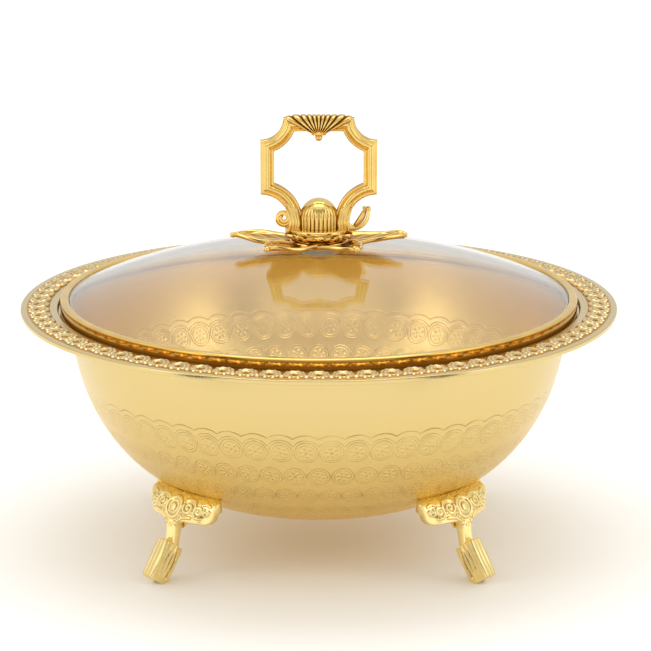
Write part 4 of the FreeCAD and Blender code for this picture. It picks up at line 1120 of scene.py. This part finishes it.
def leg_rib(shape):
    """The solid rib behind the plate that takes the screw, meeting the bowl's curve."""
    base = wall_z(RIB_INNER) - 1.6
    rings = []
    for radius in np.linspace(RIB_INNER, RIB_OUTER, 14):
        share = (radius - RIB_INNER) / (RIB_OUTER - RIB_INNER)
        low = base + share * (RIB_LOW - base)
        top = RIB_TOP - (radius - RIB_CREST) * 0.95
        if radius < RIB_CREST:
            top = min(wall_z(radius) - 0.05, RIB_TOP)
        ring = superellipse_ring((top - low) / 2, RIB_HALF, 5.0, 28)
        rings.append(np.stack([np.full(28, radius), ring[:, 1], (top + low) / 2 + ring[:, 0]], -1))
    shape.tube(np.array(rings), flip=True)


HOOF_FRONT = 6.5
HOOF_BACK = 8.5
HOOF_HALF = 4.6
HOOF_TOP = (116.2, 21.5)
HOOF_TILT = 34.0
HOOF_LENGTH = 23.0
HOOF_BEVEL = 0.9
HOOF_WAIST = -2.5       # behind this the sides draw in to the back


def hoof_ring(share):
    """One ring of the hoof at a share of its length, in its own frame: front is +x."""
    count = 144
    middle = math.sin(math.pi * (share * 0.92 + 0.06))
    wide = HOOF_HALF * (0.94 + 0.12 * middle)
    outline = [
        (HOOF_FRONT, 0.0), (HOOF_FRONT, wide - HOOF_BEVEL), (HOOF_FRONT - HOOF_BEVEL, wide),
        (HOOF_WAIST, wide), (-HOOF_BACK, wide * 0.8), (-HOOF_BACK, 0.0)]
    path = fillet_path(outline + [(x, -y) for x, y in outline[-2::-1]], 1.8, 6)
    length = path_length(path)
    at = np.arange(count) / count * length[-1]
    x, y = np.interp(at, length, path[:, 0]), np.interp(at, length, path[:, 1])
    on_face = smoothstep(HOOF_FRONT - 0.6, HOOF_FRONT - 0.1, x)
    on_side = smoothstep(wide * 0.86, wide * 0.97, np.abs(y)) * (1.0 - on_face)
    across = np.clip(y / (wide - HOOF_BEVEL), -1.0, 1.0)
    fine = 0.5 - 0.5 * np.cos(across * math.pi * 3.0)
    x -= on_face * 0.22 * fine * middle
    bow = 1.8 * (middle - 0.5)
    lobes = 0.55 * bump_line(x - 2.6 - 0.5 * bow, 1.5) + 0.5 * bump_line(x + 0.5 - 0.4 * bow, 1.5)
    ends = smoothstep(0.08, 0.25, share) * smoothstep(0.92, 0.74, share)
    crease = 1.3 * bump_line(x + 4.2 + 0.9 * bow, 0.75) * ends
    y -= np.sign(y) * on_side * (lobes * middle + crease)
    # Painted shade: darker in the face's flutes and in the side lobes and crease.
    shade = 1.0 - np.clip(on_face * 0.25 * fine + on_side * (0.12 * lobes + crease), 0.0, 1.0)
    return np.stack([x, y], axis=-1), shade


def leg_hoof(shape):
    """The tilted hoof, grooved on its face and sides, flat where it meets the floor."""
    tilt = math.radians(HOOF_TILT)
    down = np.array([math.sin(tilt), -math.cos(tilt)])
    out = np.array([math.cos(tilt), math.sin(tilt)])
    stations = [(-0.012, 0.80), (-0.012, 0.95), (0.0, 0.985), (0.02, 1.0)]
    stations += [(share, 1.0) for share in np.linspace(0.05, 0.88, 30)]
    stations += [(0.92, 0.99), (0.96, 0.965), (0.985, 0.92), (1.0, 0.85), (1.0, 0.4)]
    rings, shades = [], []
    for share, scale in stations:
        ring, shade = hoof_ring(min(max(share, 0.0), 1.0))
        ring = ring * scale
        centre = np.array(HOOF_TOP) + down * HOOF_LENGTH * share
        x = centre[0] + out[0] * ring[:, 0]
        z = centre[1] + out[1] * ring[:, 0]
        rings.append(np.stack([x, ring[:, 1], np.maximum(z, 0.0)], -1))
        shades.append(shade)
    shape.tube(np.array(rings), flip=True, shade=np.array(shades))


def legs_visual():
    shape = Shape()
    leg_plate(shape)
    leg_rib(shape)
    leg_neck(shape)
    leg_hoof(shape)
    points = np.array(shape.verts)
    for place, azimuth in LEG_AZIMUTHS.items():
        turned = turn_z(points, azimuth)
        obj = mesh_object("leg_" + place + "_cast", turned, shape.faces, LEG_GOLD, 45.0, shape.shade)
        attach(obj, "bowl")
        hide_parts("leg_" + place)


# ---------------------------------------------------------------- carried-over CAD nodes
def repaint(node, material):
    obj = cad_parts[node]
    for slot in obj.material_slots:
        slot.material = material


# ---------------------------------------------------------------- stage
def floor_material():
    nodes = Nodes("pale_floor")
    coords = nodes.coords()
    cloud = nodes.noise(coords, 3.0, 2.0)
    tint = nodes.ramp(cloud, [(0.3, (0.90, 0.885, 0.855, 1.0)), (0.7, (0.915, 0.90, 0.87, 1.0))], "LINEAR")
    nodes.link(tint, nodes.bsdf.inputs["Base Color"])
    nodes.bsdf.inputs["Roughness"].default_value = 0.7
    nodes.bsdf.inputs["Specular IOR Level"].default_value = 0.2
    return nodes.material


def add_floor():
    size = 4000.0
    corners = [(-size, -size, 0), (size, -size, 0), (size, size, 0), (-size, size, 0)]
    floor = mesh_object("floor", corners, [[0, 1, 2, 3]], floor_material(), 0)


def add_world():
    """White studio tent. Dark gaps in front of it, high up and to the sides, draw lines in the gold."""
    nodes = WorldNodes("studio")
    direction = nodes.new("ShaderNodeTexCoord").outputs["Generated"]
    split = nodes.new("ShaderNodeSeparateXYZ")
    nodes.link(direction, split.inputs[0])
    x, y, z = split.outputs
    side = nodes.math("ABSOLUTE", x)
    base = nodes.product(nodes.range(z, -0.1, 0.9, 0.92, 1.05), nodes.range(y, 0.0, 0.5, 1.0, 0.84))
    in_front = nodes.range(y, -0.15, -0.45, 0.0, 1.0)
    high = nodes.product(nodes.range(z, 0.46, 0.54, 0.0, 1.0), nodes.range(z, 0.84, 0.74, 0.0, 1.0))
    high = nodes.product(nodes.product(high, 0.6), in_front)
    strip = nodes.product(nodes.range(side, 0.50, 0.56, 0.0, 1.0), nodes.range(side, 0.74, 0.68, 0.0, 1.0))
    strip = nodes.product(nodes.product(strip, nodes.range(z, 0.9, 0.5, 0.0, 1.0)), in_front)
    low_back = nodes.product(nodes.range(side, 0.90, 0.94, 0.0, 1.0), nodes.range(z, -0.1, 0.1, 1.0, 0.0))
    gap = nodes.math("MAXIMUM", nodes.math("MAXIMUM", high, strip), low_back)
    level = nodes.product(base, nodes.range(gap, 0.0, 1.0, 1.0, 0.10))
    glossy = nodes.new("ShaderNodeLightPath").outputs["Is Glossy Ray"]
    diffuse_level = nodes.product(nodes.math("SUBTRACT", 1.0, glossy), 1.20)
    level = nodes.math("ADD", nodes.product(level, glossy), diffuse_level)
    nodes.link(level, nodes.background.inputs["Color"])
    nodes.background.inputs["Strength"].default_value = 1.0


def add_light(name, place, aim, size, power):
    data = bpy.data.lights.new(name, "AREA")
    data.shape = "RECTANGLE"
    data.size, data.size_y = size
    data.energy = power
    light = bpy.data.objects.new(name, data)
    light.location = place
    light.rotation_euler = (Vector(aim) - Vector(place)).to_track_quat("-Z", "Y").to_euler()
    light.visible_camera = False
    bpy.context.scene.collection.objects.link(light)


def add_card(name, place, width, height):
    """A dark upright card that only the reflections in the metal see."""
    foot = np.array(place) / MM
    along = np.array([foot[1], -foot[0]]) / np.hypot(*foot) * width / MM / 2
    left, right, top = foot - along, foot + along, height / MM
    corners = [(*left, 0.0), (*right, 0.0), (*right, top), (*left, top)]
    nodes = Nodes(name + "_black")
    cloth = nodes.noise(nodes.coords(), 40.0, 2.0)
    nodes.link(nodes.ramp(cloth, [(0.0, 0.012), (1.0, 0.03)], "LINEAR"), nodes.bsdf.inputs["Base Color"])
    nodes.bsdf.inputs["Roughness"].default_value = 0.95
    card = mesh_object(name, corners, [[0, 1, 2, 3]], nodes.material, 0)
    card.visible_camera = False
    card.visible_diffuse = False
    card.visible_shadow = False


def add_lights():
    add_light("overhead", (0.0, 0.1, 1.6), (0, 0, 0.1), (1.2, 0.9), 5.0)
    add_light("left_panel", (-1.5, -0.9, 0.9), (0, 0, 0.12), (0.6, 1.4), 3.0)
    add_light("right_panel", (1.5, -0.7, 0.8), (0, 0, 0.12), (0.6, 1.4), 2.4)
    add_card("left_card", (-0.39, -0.46), 0.10, 0.13)
    add_card("right_card", (0.39, -0.46), 0.10, 0.13)


CAMERA_DISTANCE = 2.0
CAMERA_ELEVATION = 13.976
CAMERA_FOCAL = 3438.7          # in units of the image's pixels
IMAGE_SIZE = 651.0
AIM_RIGHT = 6.8 / CAMERA_FOCAL
AIM_DOWN = 22.9 / CAMERA_FOCAL


def add_camera():
    data = bpy.data.cameras.new("camera")
    data.sensor_width = 36.0
    data.lens = CAMERA_FOCAL / IMAGE_SIZE * data.sensor_width
    data.clip_end = 50.0
    camera = bpy.data.objects.new("camera", data)
    rise = math.radians(CAMERA_ELEVATION)
    target = Vector((0.0, 0.0, FLANGE_Z * MM))
    camera.location = target + CAMERA_DISTANCE * Vector((0.0, -math.cos(rise), math.sin(rise)))
    camera.rotation_euler = (math.pi / 2 - rise - AIM_DOWN, 0.0, -AIM_RIGHT)
    bpy.context.scene.collection.objects.link(camera)
    bpy.context.scene.camera = camera


bowl_visual()
rim_visual()
lid_glass_visual()
lid_ring_visual()
loop_visual()
crest_visual()
dome_visual()
scroll_left_visual()
scroll_right_visual()
leaf_rosette_visual()
petal_rosette_visual()
legs_visual()
for node in ("leg_seals", "seal_upper", "seal_lower"):
    repaint(node, SEAL)
for node in ("leg_screws", "clamp_washer", "handle_screw"):
    repaint(node, STEEL)
add_floor()
add_world()
add_lights()
add_camera()
bpy.context.scene.view_settings.view_transform = "Standard"

bpy.context.view_layer.update()
